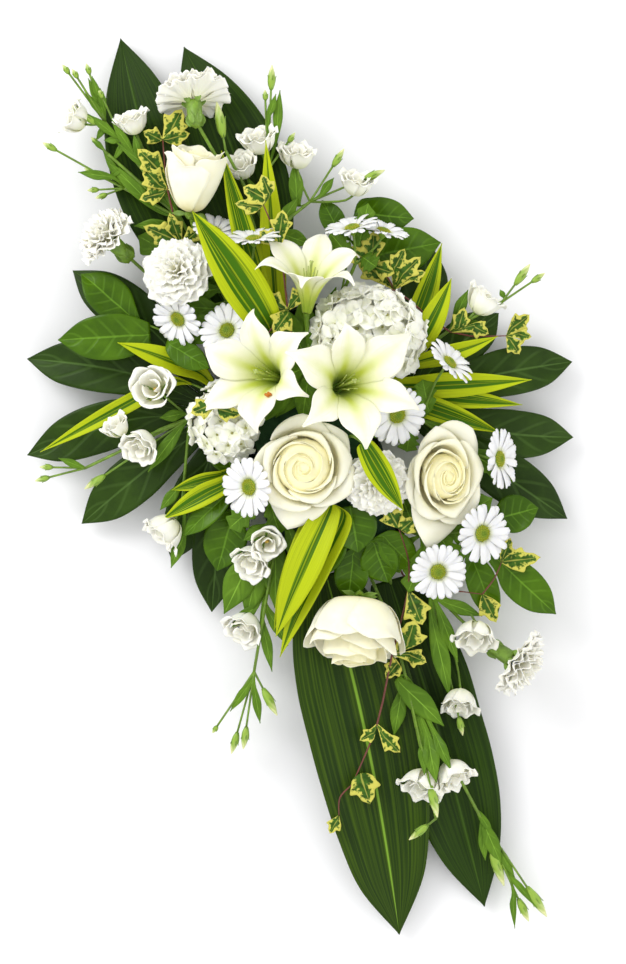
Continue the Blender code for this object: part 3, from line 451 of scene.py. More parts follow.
def grain(tree, scale, stretch=None, detail=3.0, rough=0.55, source="Object"):
    """Noise on the object's own coordinates, or on the leaf's UV map, stretched three ways."""
    place = tree.nodes.new("ShaderNodeTexCoord").outputs[source]
    if stretch:
        place = add(tree, "ShaderNodeMapping", None, {"Vector": place, "Scale": stretch})
    return add(tree, "ShaderNodeTexNoise", None,
               {"Vector": place, "Scale": scale, "Detail": detail, "Roughness": rough})


def across_and_along(tree):
    """How far a point is from the midrib, from 0 to 1, and how far along the leaf."""
    place = tree.nodes.new("ShaderNodeTexCoord").outputs["UV"]
    parts = tree.nodes.new("ShaderNodeSeparateXYZ")
    tree.links.new(place, parts.inputs[0])
    middle = sums(tree, "SUBTRACT", parts.outputs[0], 0.5)
    return sums(tree, "MULTIPLY", sums(tree, "ABSOLUTE", middle), 2.0), parts.outputs[1]


def tone_of(tree):
    made = tree.nodes.new("ShaderNodeAttribute")
    made.attribute_name = "tone"
    return made.outputs["Fac"]


def new_finish(name, rough, **sockets):
    """Material with a Principled shader; returns it, its tree and its shader."""
    made = bpy.data.materials.new(name)
    made.use_nodes = True
    tree = made.node_tree
    shader = tree.nodes["Principled BSDF"]
    shader.inputs["Roughness"].default_value = rough
    for key, value in sockets.items():
        shader.inputs[key.replace("_", " ")].default_value = value
    return made, tree, shader


def dress(tree, shader, base, height, strength, distance):
    """Links a colour, and a height as bump, to a shader."""
    tree.links.new(base, shader.inputs["Base Color"])
    bump = add(tree, "ShaderNodeBump", None, {"Strength": strength, "Distance": distance, "Height": height})
    tree.links.new(bump, shader.inputs["Normal"])


def petal_finish(name, outer, inner, fade, rough, by_tone=0.0, veins=26.0, midrib=0.0, deep=None):
    """Petal whose foot colour, its own tint mixed with painted warm shade, fades into the outer one, with
    fine veins along it and soft mottling.
    """
    made, tree, shader = new_finish(name, rough, Subsurface_Weight=0.25, Subsurface_Radius=PETAL_GLOW,
                                    Subsurface_Scale=PETAL_GLOW_DEPTH, Sheen_Weight=0.1,
                                    Specular_IOR_Level=PETAL_GLOSS)
    across, along = across_and_along(tree)
    reach = between(tree, along, fade[0], fade[1])
    if by_tone:
        reach = sums(tree, "MULTIPLY", reach, between(tree, tone_of(tree), 0.0, by_tone), True)
    if midrib:
        rib = between(tree, across, 0.02, 0.5, midrib, 0.0)
        rib = sums(tree, "MULTIPLY", rib, between(tree, along, 0.45, 0.95, 1.0, 0.0))
        reach = sums(tree, "SUBTRACT", reach, rib, True)
    # Towards its foot the petal takes the inner colour: partly its own tint there, partly painted warm shade
    # of the folds round the foot.
    base = blend(tree, reach, inner, outer)
    # The deep colour darkens the very foot further: partly its own colour there, partly painted shade deep in
    # the bloom.
    if deep:
        base = blend(tree, between(tree, along, 0.04, 0.34, 0.85, 0.0), base, deep)
    mottle = between(tree, grain(tree, 60.0), 0.35, 0.7, 0.0, 0.35)
    base = blend(tree, mottle, base, [0.93 * value for value in outer], "MULTIPLY")
    line = grain(tree, 1.0, (veins, 2.2, 1.0), 2.0, 0.6, "UV")
    base = blend(tree, between(tree, line, 0.55, 0.85, 0.0, 0.18), base, inner)
    dress(tree, shader, base, line, 0.35, 0.0004)
    return made


def streaked_finish(name, ground, light, rib=0.25):
    """Long leaf with parallel veins: streaks along it, a lighter midrib and a waxy shine."""
    made, tree, shader = new_finish(name, 0.36, Specular_IOR_Level=LEAF_GLOSS)
    across = across_and_along(tree)[0]
    streaks = 34.0
    streak = grain(tree, 1.0, (streaks, 1.1, 1.0), 3.0, 0.6, "UV")
    fine = grain(tree, 1.0, (streaks * 4.0, 1.6, 1.0), 2.0, 0.6, "UV")
    base = blend(tree, between(tree, streak, 0.38, 0.68, 0.0, 0.75), ground, light)
    base = blend(tree, between(tree, fine, 0.4, 0.7, 0.0, 0.25), base, [0.4 * value for value in ground])
    base = blend(tree, between(tree, across, 0.93, 1.0, 0.0, 0.3), base, light)
    pale = [min(1.0, 3.2 * value + 0.02) for value in light]
    base = blend(tree, between(tree, across, 0.01, 0.038, rib, 0.0), base, pale)
    ridges = sums(tree, "ADD", fine, between(tree, across, 0.0, 0.06, 1.6, 0.0))
    dress(tree, shader, base, ridges, 0.5, 0.0006)
    return made


def veined_finish(name, ground, light, pairs, lean, rib, vein, rough, coat):
    """Broad leaf with a midrib, pairs of side veins that run out and forward, and a glossy face."""
    made, tree, shader = new_finish(name, rough, Coat_Weight=coat, Coat_Roughness=0.22,
                                    Specular_IOR_Level=LEAF_GLOSS)
    across, along = across_and_along(tree)
    slant = sums(tree, "SUBTRACT", sums(tree, "MULTIPLY", along, pairs), sums(tree, "MULTIPLY", across, lean))
    wave = sums(tree, "ABSOLUTE", sums(tree, "SUBTRACT", sums(tree, "FRACT", slant), 0.5))
    side = between(tree, wave, 0.03, 0.16, 1.0, 0.0)
    side = sums(tree, "MULTIPLY", side, between(tree, across, 0.55, 0.98, 1.0, 0.0))
    middle = between(tree, across, 0.02, 0.07, 1.0, 0.0)
    patch = between(tree, grain(tree, 38.0), 0.35, 0.7, 0.0, 0.7)
    shade = between(tree, tone_of(tree), 0.0, 1.0, 0.0, 0.5)
    base = blend(tree, sums(tree, "ADD", sums(tree, "MULTIPLY", patch, 0.6), shade, True), ground, light)
    pale = [min(1.0, 2.2 * value + 0.03) for value in light]
    base = blend(tree, sums(tree, "MULTIPLY", side, vein), base, pale)
    base = blend(tree, sums(tree, "MULTIPLY", middle, rib), base, pale)
    relief = sums(tree, "SUBTRACT", grain(tree, 260.0, None, 2.0), sums(tree, "ADD", side, middle))
    dress(tree, shader, base, relief, 0.4, 0.0007)
    return made


def striped_finish(name, lime, green):
    """Striped blade: lime margins, green middle and fine darker stripes."""
    made, tree, shader = new_finish(name, 0.38, Specular_IOR_Level=LEAF_GLOSS)
    across = across_and_along(tree)[0]
    streak = grain(tree, 1.0, (16.0, 0.7, 1.0), 2.0, 0.5, "UV")
    fine = grain(tree, 1.0, (80.0, 1.4, 1.0), 2.0, 0.6, "UV")
    uneven = sums(tree, "MULTIPLY", sums(tree, "SUBTRACT", streak, 0.5), 0.5)
    shift = sums(tree, "ADD", uneven, between(tree, tone_of(tree), 0.1, 0.8, 0.36, -0.12))
    margin = between(tree, sums(tree, "ADD", across, shift), 0.46, 0.6)
    base = blend(tree, between(tree, streak, 0.52, 0.62, 0.0, 0.8), green, lime)
    base = blend(tree, between(tree, across, 0.02, 0.1, 0.5, 0.0), base, [0.5 * value for value in green])
    base = blend(tree, margin, base, lime)
    base = blend(tree, between(tree, fine, 0.45, 0.75, 0.0, 0.35), base, [0.6 * value for value in green])
    dress(tree, shader, base, fine, 0.5, 0.0005)
    return made


def ivy_finish(name, cream, green):
    """Variegated ivy: a green middle with an uneven edge inside a cream margin."""
    made, tree, shader = new_finish(name, 0.4, Specular_IOR_Level=LEAF_GLOSS)
    across, along = across_and_along(tree)
    patchy = sums(tree, "MULTIPLY", sums(tree, "SUBTRACT", grain(tree, 260.0), 0.5), 1.9)
    far = sums(tree, "MAXIMUM", across, between(tree, along, 0.7, 1.0))
    margin = between(tree, sums(tree, "ADD", far, patchy), 0.44, 0.74)
    dark = blend(tree, between(tree, grain(tree, 150.0), 0.4, 0.65), green, [0.55 * value for value in green])
    base = blend(tree, margin, dark, cream)
    base = blend(tree, between(tree, across, 0.02, 0.1, 0.5, 0.0), base, cream)
    dress(tree, shader, base, grain(tree, 400.0), 0.35, 0.0004)
    return made


def stem_finish(name, base_green):
    """Fresh stem: green with pale flecks and faint ribs along it."""
    made, tree, shader = new_finish(name, 0.42, Subsurface_Weight=0.05, Subsurface_Scale=STEM_GLOW_DEPTH)
    patch = grain(tree, 90.0)
    base = blend(tree, between(tree, patch, 0.35, 0.7), [0.6 * value for value in base_green], base_green)
    pale = [min(1.0, 1.5 * value + 0.05) for value in base_green]
    base = blend(tree, between(tree, grain(tree, 500.0), 0.58, 0.75, 0.0, 0.35), base, pale)
    ribs = grain(tree, 1.0, (14.0, 1.0, 1.0), 2.0, 0.5, "UV")
    dress(tree, shader, base, ribs, 0.4, 0.0004)
    return made


def bud_finish(name, green, tip):
    """Bud: green at its foot, pale and twisted towards its tip."""
    made, tree, shader = new_finish(name, 0.45, Subsurface_Weight=0.1, Subsurface_Scale=STEM_GLOW_DEPTH)
    across, along = across_and_along(tree)
    twist = sums(tree, "ADD", sums(tree, "MULTIPLY", across, 4.0), sums(tree, "MULTIPLY", along, 6.0))
    fold = sums(tree, "SINE", sums(tree, "MULTIPLY", twist, math.pi))
    reach = between(tree, sums(tree, "ADD", along, sums(tree, "MULTIPLY", fold, 0.06)), 0.4, 0.85)
    base = blend(tree, reach, green, tip)
    base = blend(tree, between(tree, grain(tree, 300.0), 0.4, 0.7, 0.0, 0.3), base, green)
    dress(tree, shader, base, fold, 0.3, 0.0005)
    return made


def speckled_finish(name, base_colour, other, scale, rough, strength, distance):
    """Plain matter with small pores or a moulded grain."""
    made, tree, shader = new_finish(name, rough)
    pores = grain(tree, scale, None, 4.0, 0.65)
    wide = grain(tree, scale * 0.06)
    base = blend(tree, between(tree, wide, 0.35, 0.7), base_colour, other)
    base = blend(tree, between(tree, pores, 0.5, 0.72, 0.0, 0.6), base, [0.45 * v for v in base_colour])
    dress(tree, shader, base, pores, strength, distance)
    return made


def disc_finish(name, yellow):
    """Daisy disc: yellow florets, greener in the middle."""
    made, tree, shader = new_finish(name, 0.6)
    green = (0.45 * yellow[0], 0.75 * yellow[1], yellow[2])
    base = blend(tree, between(tree, tone_of(tree), 0.1, 0.8), green, yellow)
    specks = grain(tree, 900.0)
    base = blend(tree, between(tree, specks, 0.45, 0.7, 0.0, 0.5), base, [0.55 * value for value in yellow])
    dress(tree, shader, base, specks, 0.4, 0.0003)
    return made


def finish(name):
    """The material of that name, made once."""
    made = bpy.data.materials.get(name)
    if made is not None:
        return made
    blooms = bpy.context.scene.spray_blooms
    leaves = bpy.context.scene.spray_leaves
    green = tuple(leaves.stem_green)
    makers = {
        # Each petal's second colour and its deep one tint its foot: partly the petal's own tint, partly
        # painted warm shade of the folds.
        "rose_petal": lambda: petal_finish(name, blooms.rose_cream, blooms.rose_heart, (0.0, 0.85), 0.5, 0.9,
                                           deep=(0.95, 0.8, 0.34)),
        "lily_tepal": lambda: petal_finish(name, blooms.lily_white, blooms.lily_throat, (0.13, 0.64), 0.42,
                                           veins=18.0, midrib=0.4, deep=(0.3, 0.45, 0.03)),
        "carnation_petal": lambda: petal_finish(name, blooms.petal_white, (0.93, 0.92, 0.66), (0.0, 0.8), 0.6,
                                                veins=12.0),
        "hydrangea_floret": lambda: petal_finish(name, blooms.floret_white, (0.88, 0.9, 0.62), (0.0, 0.7),
                                                 0.6, veins=7.0),
        "daisy_ray": lambda: petal_finish(name, blooms.ray_white, (0.74, 0.78, 0.5), (0.0, 0.3), 0.5,
                                          veins=5.0),
        "lisianthus_petal": lambda: petal_finish(name, blooms.cup_white, (0.82, 0.85, 0.5), (0.0, 0.6), 0.5,
                                                 veins=20.0),
        "daisy_disc": lambda: disc_finish(name, blooms.disc_yellow),
        "stamen_green": lambda: stem_finish(name, (0.5, 0.6, 0.16)),
        "anther_brown": lambda: speckled_finish(name, (0.62, 0.2, 0.01), (0.45, 0.12, 0.01), 900, 0.8, 0.3,
                                                0.0003),
        "golden_pistil": lambda: stem_finish(name, (0.62, 0.42, 0.06)),
        "olive_bead": lambda: stem_finish(name, (0.42, 0.42, 0.12)),
        "fresh_stem": lambda: stem_finish(name, green),
        "calyx_green": lambda: stem_finish(name, (0.2, 0.36, 0.03)),
        "ivy_stem": lambda: stem_finish(name, (0.2, 0.045, 0.03)),
        "spray_leaf": lambda: veined_finish(name, (0.06, 0.14, 0.008), (0.14, 0.27, 0.016), 5.0, 0.8, 0.5,
                                            0.1, 0.45, 0.05),
        "lisianthus_bud": lambda: bud_finish(name, (0.27, 0.43, 0.04), (0.78, 0.8, 0.4)),
        "aspidistra_leaf": lambda: streaked_finish(name, leaves.aspidistra_green, (0.04, 0.09, 0.004)),
        "aspidistra_bright": lambda: streaked_finish(name, leaves.aspidistra_green, (0.062, 0.12, 0.005),
                                                     0.85),
        "fatsia_leaf": lambda: veined_finish(name, leaves.fatsia_green, (0.035, 0.08, 0.005), 6.0, 1.4, 0.5,
                                             0.2, 0.4, 0.05),
        "glossy_leaf": lambda: veined_finish(name, leaves.salal_green, (0.092, 0.205, 0.003), 7.0, 1.1, 0.35,
                                             0.13, 0.3, 0.1),
        "striped_blade": lambda: striped_finish(name, leaves.stripe_lime, leaves.stripe_green),
        "variegated_leaf": lambda: ivy_finish(name, leaves.ivy_cream, leaves.ivy_green),
        "wet_foam": lambda: speckled_finish(name, (0.012, 0.05, 0.015), (0.02, 0.075, 0.02), 900, 0.95, 0.8,
                                            0.0012),
        "moulded_plastic": lambda: speckled_finish(name, (0.006, 0.03, 0.01), (0.01, 0.04, 0.014), 1400, 0.4,
                                                   0.12, 0.0002),
    }
    return makers[name]()


def petal_thick():
    return bpy.context.scene.spray_blooms.petal_thick / MM


def leaf_thick():
    return bpy.context.scene.spray_leaves.leaf_thick / MM


def ruffled():
    return bpy.context.scene.spray_blooms.ruffle


# Name, then place, aim and height of the solid bloom, then foot, aim, radius and height of this one, its
# turn and spread, the heights and kind of its petals and their stray, and for the stem whether long
# sepals show, the height that it roots at and how steeply it arrives.
ROSES = (
    ("rose_top", (-114, 270, 100), (0.05, 0.82, 0.57), 46, (-119, 227, 86), (0.14, 0.97, 0.16), 29, 58, 2.2,
     1.0, ROSE_CUP, 1, 0.17, True, 64, 0.2),
    ("rose_centre", (-7, -28, 140), (-0.05, -0.1, 1), 42, (-5, -24, 98), (-0.05, -0.1, 1), 48, 42, -1.62, 1.0,
     ROSE_OPEN, 0, 0.05, False, 52, 1.0),
    ("rose_right", (139, -38, 122), (0.35, -0.1, 0.93), 42, (124, -34, 83), (0.35, -0.1, 0.93), 40, 42, -1.66,
     1.28, ROSE_OPEN, 0, 0.05, False, 52, 1.0),
    ("rose_low", (43, -206, 100), (-0.05, -0.75, 0.66), 44, (49, -158, 80), (-0.08, -0.97, 0.22), 47, 66, 0.9,
     0.9, ROSE_DROOP, 3, 0.08, True, 62, 0.3),
)


class SPRAY_OT_roses(bpy.types.Operator):
    """Open roses with layers of petals round a tight heart, and their stems"""

    bl_idname = "spray.roses"
    bl_label = "Roses"

    def execute(self, context):
        for number, rose in enumerate(ROSES):
            name, place, aim, height, foot, look, *petals = rose[:13]
            aim, foot, look = Vector(aim).normalized(), Vector(foot), Vector(look).normalized()
            self.bloom(name, facing(foot, look), number, *petals)
            self.stalk(name, Vector(place) - aim * height, foot, aim, look, *rose[13:])
        return {"FINISHED"}

    def bloom(self, name, at, number, radius, height, turn, spread, tops, outer, stray):
        draw = random.Random(30 + number)
        at = at @ Matrix.Diagonal((1.0, spread, 1.0, 1.0)) @ Matrix.Rotation(turn, 4, "Z")
        bm = new_drawing()
        for petal in range(ROSE_PETALS):
            share = petal / (ROSE_PETALS - 1)
            closing = min(1.0, max(0.0, (share - 0.3) / 0.4))
            profile = [Vector(far).lerp(Vector(near), closing)
                       for far, near in zip(ROSE_PROFILES[outer], ROSE_PROFILES[ROSE_CLOSED])]
            loose = 1.0 - share
            petal_ring(bm, at, 1, smooth(ROSE_RIMS, share) * radius, smooth(tops, share) * height, profile,
                       smooth(ROSE_HALVES, share), petal * GOLDEN, draw, (0.5 + 1.4 * loose) * ruffled(),
                       lap=0.05 + 0.2 * closing, notch=0.26, point=14.0 if petal == 0 else 6.0 * loose,
                       tone=loose, columns=14, rows=14, waves=1.0, fall=5.0 * loose + 0.5,
                       stray=0.02 + stray * loose)
        stem(bm, upright(at, [share * height for share in (0.1, 0.45, 0.74, 0.9)]),
             [share * radius for share in (0.15, 0.56, 0.5, 0.3)], 16, 0, 0.0)
        finish_piece(bm, name + "_petals", ("rose_petal",), "rose_bloom", name + "_bloom")

    def stalk(self, name, root_end, foot, aim, look, sepals, root, lead):
        end = root_end - aim * 5.8
        bm = new_drawing()
        line = rooted(end, (aim.x, aim.y, aim.z * lead), root)
        if (foot - root_end).length > 3.0:
            line = line[:-1]
        stem(bm, line + [foot - look * 2], 2.4, 10)
        swelling(bm, foot, look, ROSE_HIP, 12)
        at = facing(foot, look)
        for number in range(CALYX_TEETH):
            angle = math.pi / 2 + (1.1 * (number - 1) if sepals else math.tau * number / CALYX_TEETH)
            reach = 20 if sepals else 13
            sweep = at @ Matrix.Rotation(angle if number < 3 or not sepals else angle + 0.9, 4, "Z")
            leaf(bm, sweep @ Vector((4, 0, -3)), sweep @ Vector((reach, 0, -5)), 6, SLIM, 2, 0.1,
                 stalk=sweep @ Vector((1.5, 0, -3)), columns=4, rows=10, paint=1)
        finish_piece(bm, name + "_stalk", ("fresh_stem", "calyx_green"), "green_stem", name + "_stem")


# Name, mouth, aim, turn, size, and the reach of each of the six tepals.
LILIES = (
    ("lily_left", (-57, 68, 154), (-0.42, 0.12, 0.9), math.radians(33), 0.93,
     (1, 0.94, 0.96, 1.09, 0.94, 0.95)),
    ("lily_right", (46, 58, 178), (0.27, 0.1, 0.96), math.radians(40), 1.0,
     (1.08, 0.82, 1.05, 0.97, 0.96, 1.02)),
    ("lily_top", (2, 181, 136), (0.08, 0.87, 0.49), math.radians(20), 0.84,
     (0.86, 1.16, 1.06, 0.97, 0.88, 0.95)),
)
LILY_FORK = Vector((0, 74, 82))
LILY_LEAVES = (
    (-34, 22, 84), (-8, 18, 88), (16, 20, 86), (42, 34, 90), (-44, 94, 98), (-30, 134, 90), (-8, 144, 88),
    (14, 118, 96), (38, 96, 92), (40, 66, 92), (-40, 56, 92), (-60, 12, 86), (26, 152, 86),
)


class SPRAY_OT_lilies(bpy.types.Operator):
    """Lily trumpets of three broad and three narrow tepals, with stamens, on one branched stem"""

    bl_idname = "spray.lilies"
    bl_label = "Lilies"

    def execute(self, context):
        bm = new_drawing()
        line = rooted(LILY_FORK, (0, 0, 1), 40, 2)
        stem(bm, line + [LILY_FORK + UP * 1.5], 3.2, 12)
        for number, (name, place, aim, turn, size, reach) in enumerate(LILIES):
            aim = Vector(aim).normalized()
            foot = Vector(place) - aim * LILY_DEPTH * size
            self.trumpet(name, facing(foot, aim, turn) @ Matrix.Scale(size, 4), number, reach)
            end = foot - aim * 1.3
            branch = (LILY_FORK, LILY_FORK.lerp(end - aim * 8, 0.6), end - aim * 6, end)
            stem(bm, branch, (2.2, 2.0, 2.8, 3.9), 10)
        for tip in LILY_LEAVES:
            tip = Vector(tip)
            leaf(bm, LILY_FORK.lerp(tip, 0.2), tip, 24, SLIM, 4.0, 0.15, stalk=LILY_FORK.lerp(tip, 0.03),
                 paint=1)
        finish_piece(bm, "lily_branches", ("fresh_stem", "spray_leaf"), "green_stem", "lily_stem")
        return {"FINISHED"}

    def trumpet(self, name, at, seed, reach):
        draw = random.Random(60 + seed)
        bm = new_drawing()
        for number in range(LILY_TEPALS):
            broad = number % 2 == 0
            halves = LILY_BROAD if broad else LILY_NARROW
            middle = math.tau * number / LILY_TEPALS + draw.uniform(-0.04, 0.04)
            sink = draw.uniform(-2.0, 3.0)
            start = draw.uniform(0, math.tau)
            gap = 0.0 if broad else 0.6

            def shape(u, v):
                radius, half = smooth(LILY_RADII, v), smooth(halves, v)
                radius *= 1.0 + (reach[number] - 1.0) * v
                height = smooth(LILY_HEIGHTS, v) - sink * v ** 4 - gap
                wrapped = polar(radius + gap, middle + half * u / max(radius, half * 0.9), height)
                out, side = polar(1.0, middle, 0.0), polar(1.0, middle + math.pi / 2, 0.0)
                flat = out * (radius + gap) + side * (half * u) + UP * height
                opened = min(1.0, max(0.0, (v - 0.35) / 0.35))
                channel = 0.12 * half * (abs(u) ** 2.0) * opened - 0.4 * max(0.0, 1 - abs(u) * 5) * opened
                frill = 1.3 * ruffled() * math.sin(9.0 * v + start + u) * abs(u) ** 3 * opened
                return at @ (wrapped.lerp(flat, opened) + UP * (channel + frill))

            sheet(bm, 14, 34, shape, petal_thick() * TEPAL_THICK, 0, draw.uniform(0.3, 0.7))
        stem(bm, upright(at, (-0.3, 20, 45, 66)), (1.9, 1.2, 1.2, 1.5), 8, 1)
        for number in range(3):
            lobe = polar(2.2, math.tau * number / 3, 66.5)
            stem(bm, [at @ Vector((0, 0, 65)), at @ lobe], (1.3, 1.1), 8, 1)
        for number in range(LILY_TEPALS):
            angle = math.tau * (number + 0.5) / LILY_TEPALS
            points = [at @ polar(r, angle, z) for r, z in ((2.4, 0.5), (4.2, 28), (8.5, 56))]
            stem(bm, points, (0.9, 0.7, 0.55), 6, 1)
        if seed == 0:  # a brown anther lies in the left lily
            for near, far in ((-1.86, -1.72), (-1.72, -1.62)):
                stem(bm, [at @ polar(25, near, 55.5), at @ polar(29, far, 58.5)], (1.5, 1.5), 8, 2)
        finish_piece(bm, name + "_trumpet", ("lily_tepal", "stamen_green", "anther_brown"), "lily_bloom",
                     name)


# Name, centre, aim, radius, flatness, share of the florets, seed, the height that the stem roots at,
# and the florets' spread across and along, as shares, and their shift across and along.
HYDRANGEAS = (
    ("hydrangea_right", (67, 113, 94), (0.2, 0.2, 0.95), 46, 0.72, 1.2, 5, 48, (1.1, 0.94, -8, -8)),
    ("hydrangea_left", (-84, 18, 94), (-0.5, 0, 0.87), 36, 0.6, 0.66, 6, 62, (1.0, 1.0, 0, 0)),
)


class SPRAY_OT_hydrangeas(bpy.types.Operator):
    """Hydrangea heads covered in florets of four petals, and their stems"""

    bl_idname = "spray.hydrangeas"
    bl_label = "Hydrangeas"

    def execute(self, context):
        for head in HYDRANGEAS:
            self.head(*head)
        return {"FINISHED"}

    def head(self, name, centre, aim, radius, flat, share, seed, root, spread):
        draw = random.Random(seed)
        aim = Vector(aim).normalized()
        at = facing(centre, aim)
        base = -0.45 * radius
        bm = new_drawing()
        stem(bm, upright(at, (base, base * 0.4, 0.3 * radius * flat, 0.6 * radius * flat)),
             (3.2, 0.5 * radius, 0.62 * radius, 0.4 * radius), 16)
        foot = at @ Vector((0, 0, base * 0.6))
        count = round(bpy.context.scene.spray_blooms.florets * share)
        for i in range(count):
            height = 1.0 - 1.16 * (i + 0.5) / count
            reach = math.sqrt(1.0 - height * height)
            normal = polar(reach, i * GOLDEN, height)
            out = radius * (1.0 if i % 2 else 0.9) * draw.uniform(0.96, 1.04)
            place = Vector((normal.x * out * spread[0] + spread[2], normal.y * out * spread[1] + spread[3],
                            normal.z * out * flat))
            tilt = Vector((draw.uniform(-0.2, 0.2), draw.uniform(-0.2, 0.2), draw.uniform(0.0, 0.3)))
            self.floret(bm, at @ facing(place, normal + tilt, draw.uniform(0, 1.5)), 0.36 * radius, draw)
            stem(bm, [foot, foot.lerp(at @ place, 0.5), at @ (place * 0.97)], 0.5, 3, 1, 0.5, 1)
        finish_piece(bm, name + "_florets", ("hydrangea_floret", "olive_bead"), "hydrangea_head",
                     name + "_head")
        bm = new_drawing()
        end = at @ Vector((0, 0, -0.56 * 0.8 * radius - 0.6))
        stem(bm, rooted(end - aim * 5, aim, root, 2) + [end], 3.0, 12)
        finish_piece(bm, name + "_stalk", ("fresh_stem",), "green_stem", name + "_stem")

    def floret(self, bm, at, size, draw):
        tone = draw.uniform(0.2, 0.8)
        for number in range(4):
            middle = math.tau * number / 4 + draw.uniform(-0.1, 0.1)
            out, side = polar(1.0, middle, 0.0), polar(1.0, middle + math.pi / 2, 0.0)
            lift, length = draw.uniform(0.1, 0.34), size * draw.uniform(0.92, 1.06)

            def shape(u, v):
                half = 0.55 * size * math.sin(math.pi * min(1.0, 0.07 + 0.83 * v)) ** 0.6
                height = lift * size * v * v + 0.12 * size * u * u * v + 0.15 * number
                return at @ (out * (length * v * (1.0 - 0.12 * u * u)) + side * (half * u) + UP * height)

            sheet(bm, 4, 4, shape, petal_thick(), 0, tone)
        bead = bmesh.ops.create_icosphere(bm, subdivisions=1, radius=size * 0.13, matrix=at)["verts"]
        for face in faces_round(bead):
            face.material_index = 1


# Name, place, aim, radius, turn, seed, the height that the stem roots at and a point that it passes.
CARNATIONS = (
    ("carnation_top", (-118, 352, 64), (-0.1, 0.8, -0.42), 38, 0.2, 11, 66, (-66, 235, 76)),
    ("carnation_far_left", (-210, 209, 76), (-0.68, 0.62, 0.38), 32, 0.5, 12, 46, None),
    ("carnation_left", (-135, 170, 108), (-0.35, 0.25, 0.9), 35, 0.9, 13, 62, None),
    ("carnation_centre", (68, -47, 121), (0.1, -0.3, 0.95), 34, 0.3, 14, 54, None),
    ("carnation_low_right", (216, -229, 62), (0.82, -0.55, 0.16), 35, 0.7, 15, 54, None),
)


class SPRAY_OT_carnations(bpy.types.Operator):
    """Carnations with ruffled, toothed petals on a toothed calyx"""

    bl_idname = "spray.carnations"
    bl_label = "Carnations"

    def execute(self, context):
        for carnation in CARNATIONS:
            self.flower(*carnation)
        return {"FINISHED"}

    def flower(self, name, place, aim, radius, turn, seed, root, via):
        draw = random.Random(seed)
        aim = Vector(aim).normalized()
        foot = Vector(place) - aim * 18
        end = foot - aim * 22
        at = facing(foot, aim, turn)
        bm = new_drawing()
        for layer, (rim, top, count) in enumerate(CARNATION_LAYERS):
            petal_ring(bm, at, count, rim * radius, top, CARNATION_PETAL, 3.9 / count, layer * 0.4, draw,
                       3.4 * ruffled(), lap=0.06, notch=0.14, point=2.0, tone=draw.uniform(0.3, 0.8),
                       columns=22, rows=9, waves=2.0, fall=1.5, stray=0.08, narrow=0.35, teeth=1.6)
        finish_piece(bm, name + "_petals", ("carnation_petal",), "carnation_bloom", name + "_bloom")
        line = rooted(via, end - Vector(via), root) + [end] if via else rooted(end, aim, root)
        bm = new_drawing()
        stem(bm, line + [foot - aim * 17], 1.7, 8)
        swelling(bm, foot, aim, CARNATION_CALYX, 14)
        calyx(bm, at, (((7.6, 0, -3), (11, 0, 7)), ((5.4, 1, -27), (8.6, 1, -13))), 7, 0.5, 4, 6, 1)
        finish_piece(bm, name + "_stalk", ("fresh_stem", "calyx_green"), "green_stem", name + "_stem")


# Node, joint, heads with their place, aim and radius, the way that the stem arrives (None for towards
# the heads), and leaves with their base, tip and width.
DAISIES = (
    ("daisies_upper_left", (-72, 140, 82), (
        ((-95, 207, 86), (0.2, 0.75, 0.6), 24), ((-56, 198, 112), (-0.1, 0.93, 0.3), 28),
        ((-131, 120, 90), (-0.5, -0.45, 0.72), 28), ((-82, 108, 108), (-0.3, 0.3, 0.9), 29)), None, (
        ((-84, 160, 78), (-112, 184, 74), 24), ((-68, 150, 80), (-52, 176, 82), 22),
        ((-72, 128, 86), (-52, 116, 92), 24), ((-92, 132, 80), (-118, 94, 80), 22),
        ((-88, 130, 82), (-152, 134, 72), 30), ((-82, 124, 86), (-122, 109, 80), 26),
        ((-112, 172, 66), (-172, 204, 56), 36),
        ((-90, 150, 76), (-130, 146, 66), 24), ((-96, 156, 72), (-160, 198, 60), 34))),
    ("daisies_left", (-45, -52, 92), (
        ((-60, -47, 118), (-0.6, -0.1, 0.79), 31),), (-0.2, 0, 1), (
        ((-52, -62, 88), (-80, -88, 78), 26), ((-40, -62, 90), (-30, -94, 84), 24),
        ((-36, -44, 92), (-24, -20, 94), 24))),
    ("daisies_top_right", (45, 175, 76), (
        ((42, 210, 90), (-0.2, 0.92, 0.34), 28), ((73, 207, 82), (0.3, 0.92, 0.3), 26)), None, (
        ((40, 182, 74), (20, 206, 72), 24), ((52, 182, 76), (66, 172, 84), 24),
        ((48, 190, 74), (58, 236, 66), 22))),
    ("daisies_right", (110, 20, 84), (
        ((86, 24, 126), (0.4, -0.3, 0.86), 31), ((138, 76, 108), (0.6, 0.6, 0.4), 28),
        ((188, -19, 86), (0.85, 0.05, 0.5), 31)), (0.6, 0, 1), (
        ((118, 28, 86), (112, 60, 88), 24), ((128, 14, 82), (160, -4, 76), 24),
        ((98, 10, 88), (56, 12, 104), 24), ((136, 4, 78), (204, -42, 70), 26),
        ((100, 10, 86), (96, -12, 92), 24))),
    ("daisies_low_right", (110, -95, 78), (
        ((127, -131, 98), (0.2, -0.2, 0.95), 29), ((171, -93, 92), (0.55, -0.1, 0.82), 31)),
     (0.6, -0.2, 0.8), (
        ((100, -100, 76), (78, -130, 68), 26), ((114, -106, 76), (98, -152, 68), 26),
        ((126, -92, 78), (150, -126, 72), 26), ((102, -84, 78), (92, -58, 80), 24),
        ((134, -84, 78), (182, -58, 74), 26), ((130, -90, 76), (160, -95, 72), 24))),
)


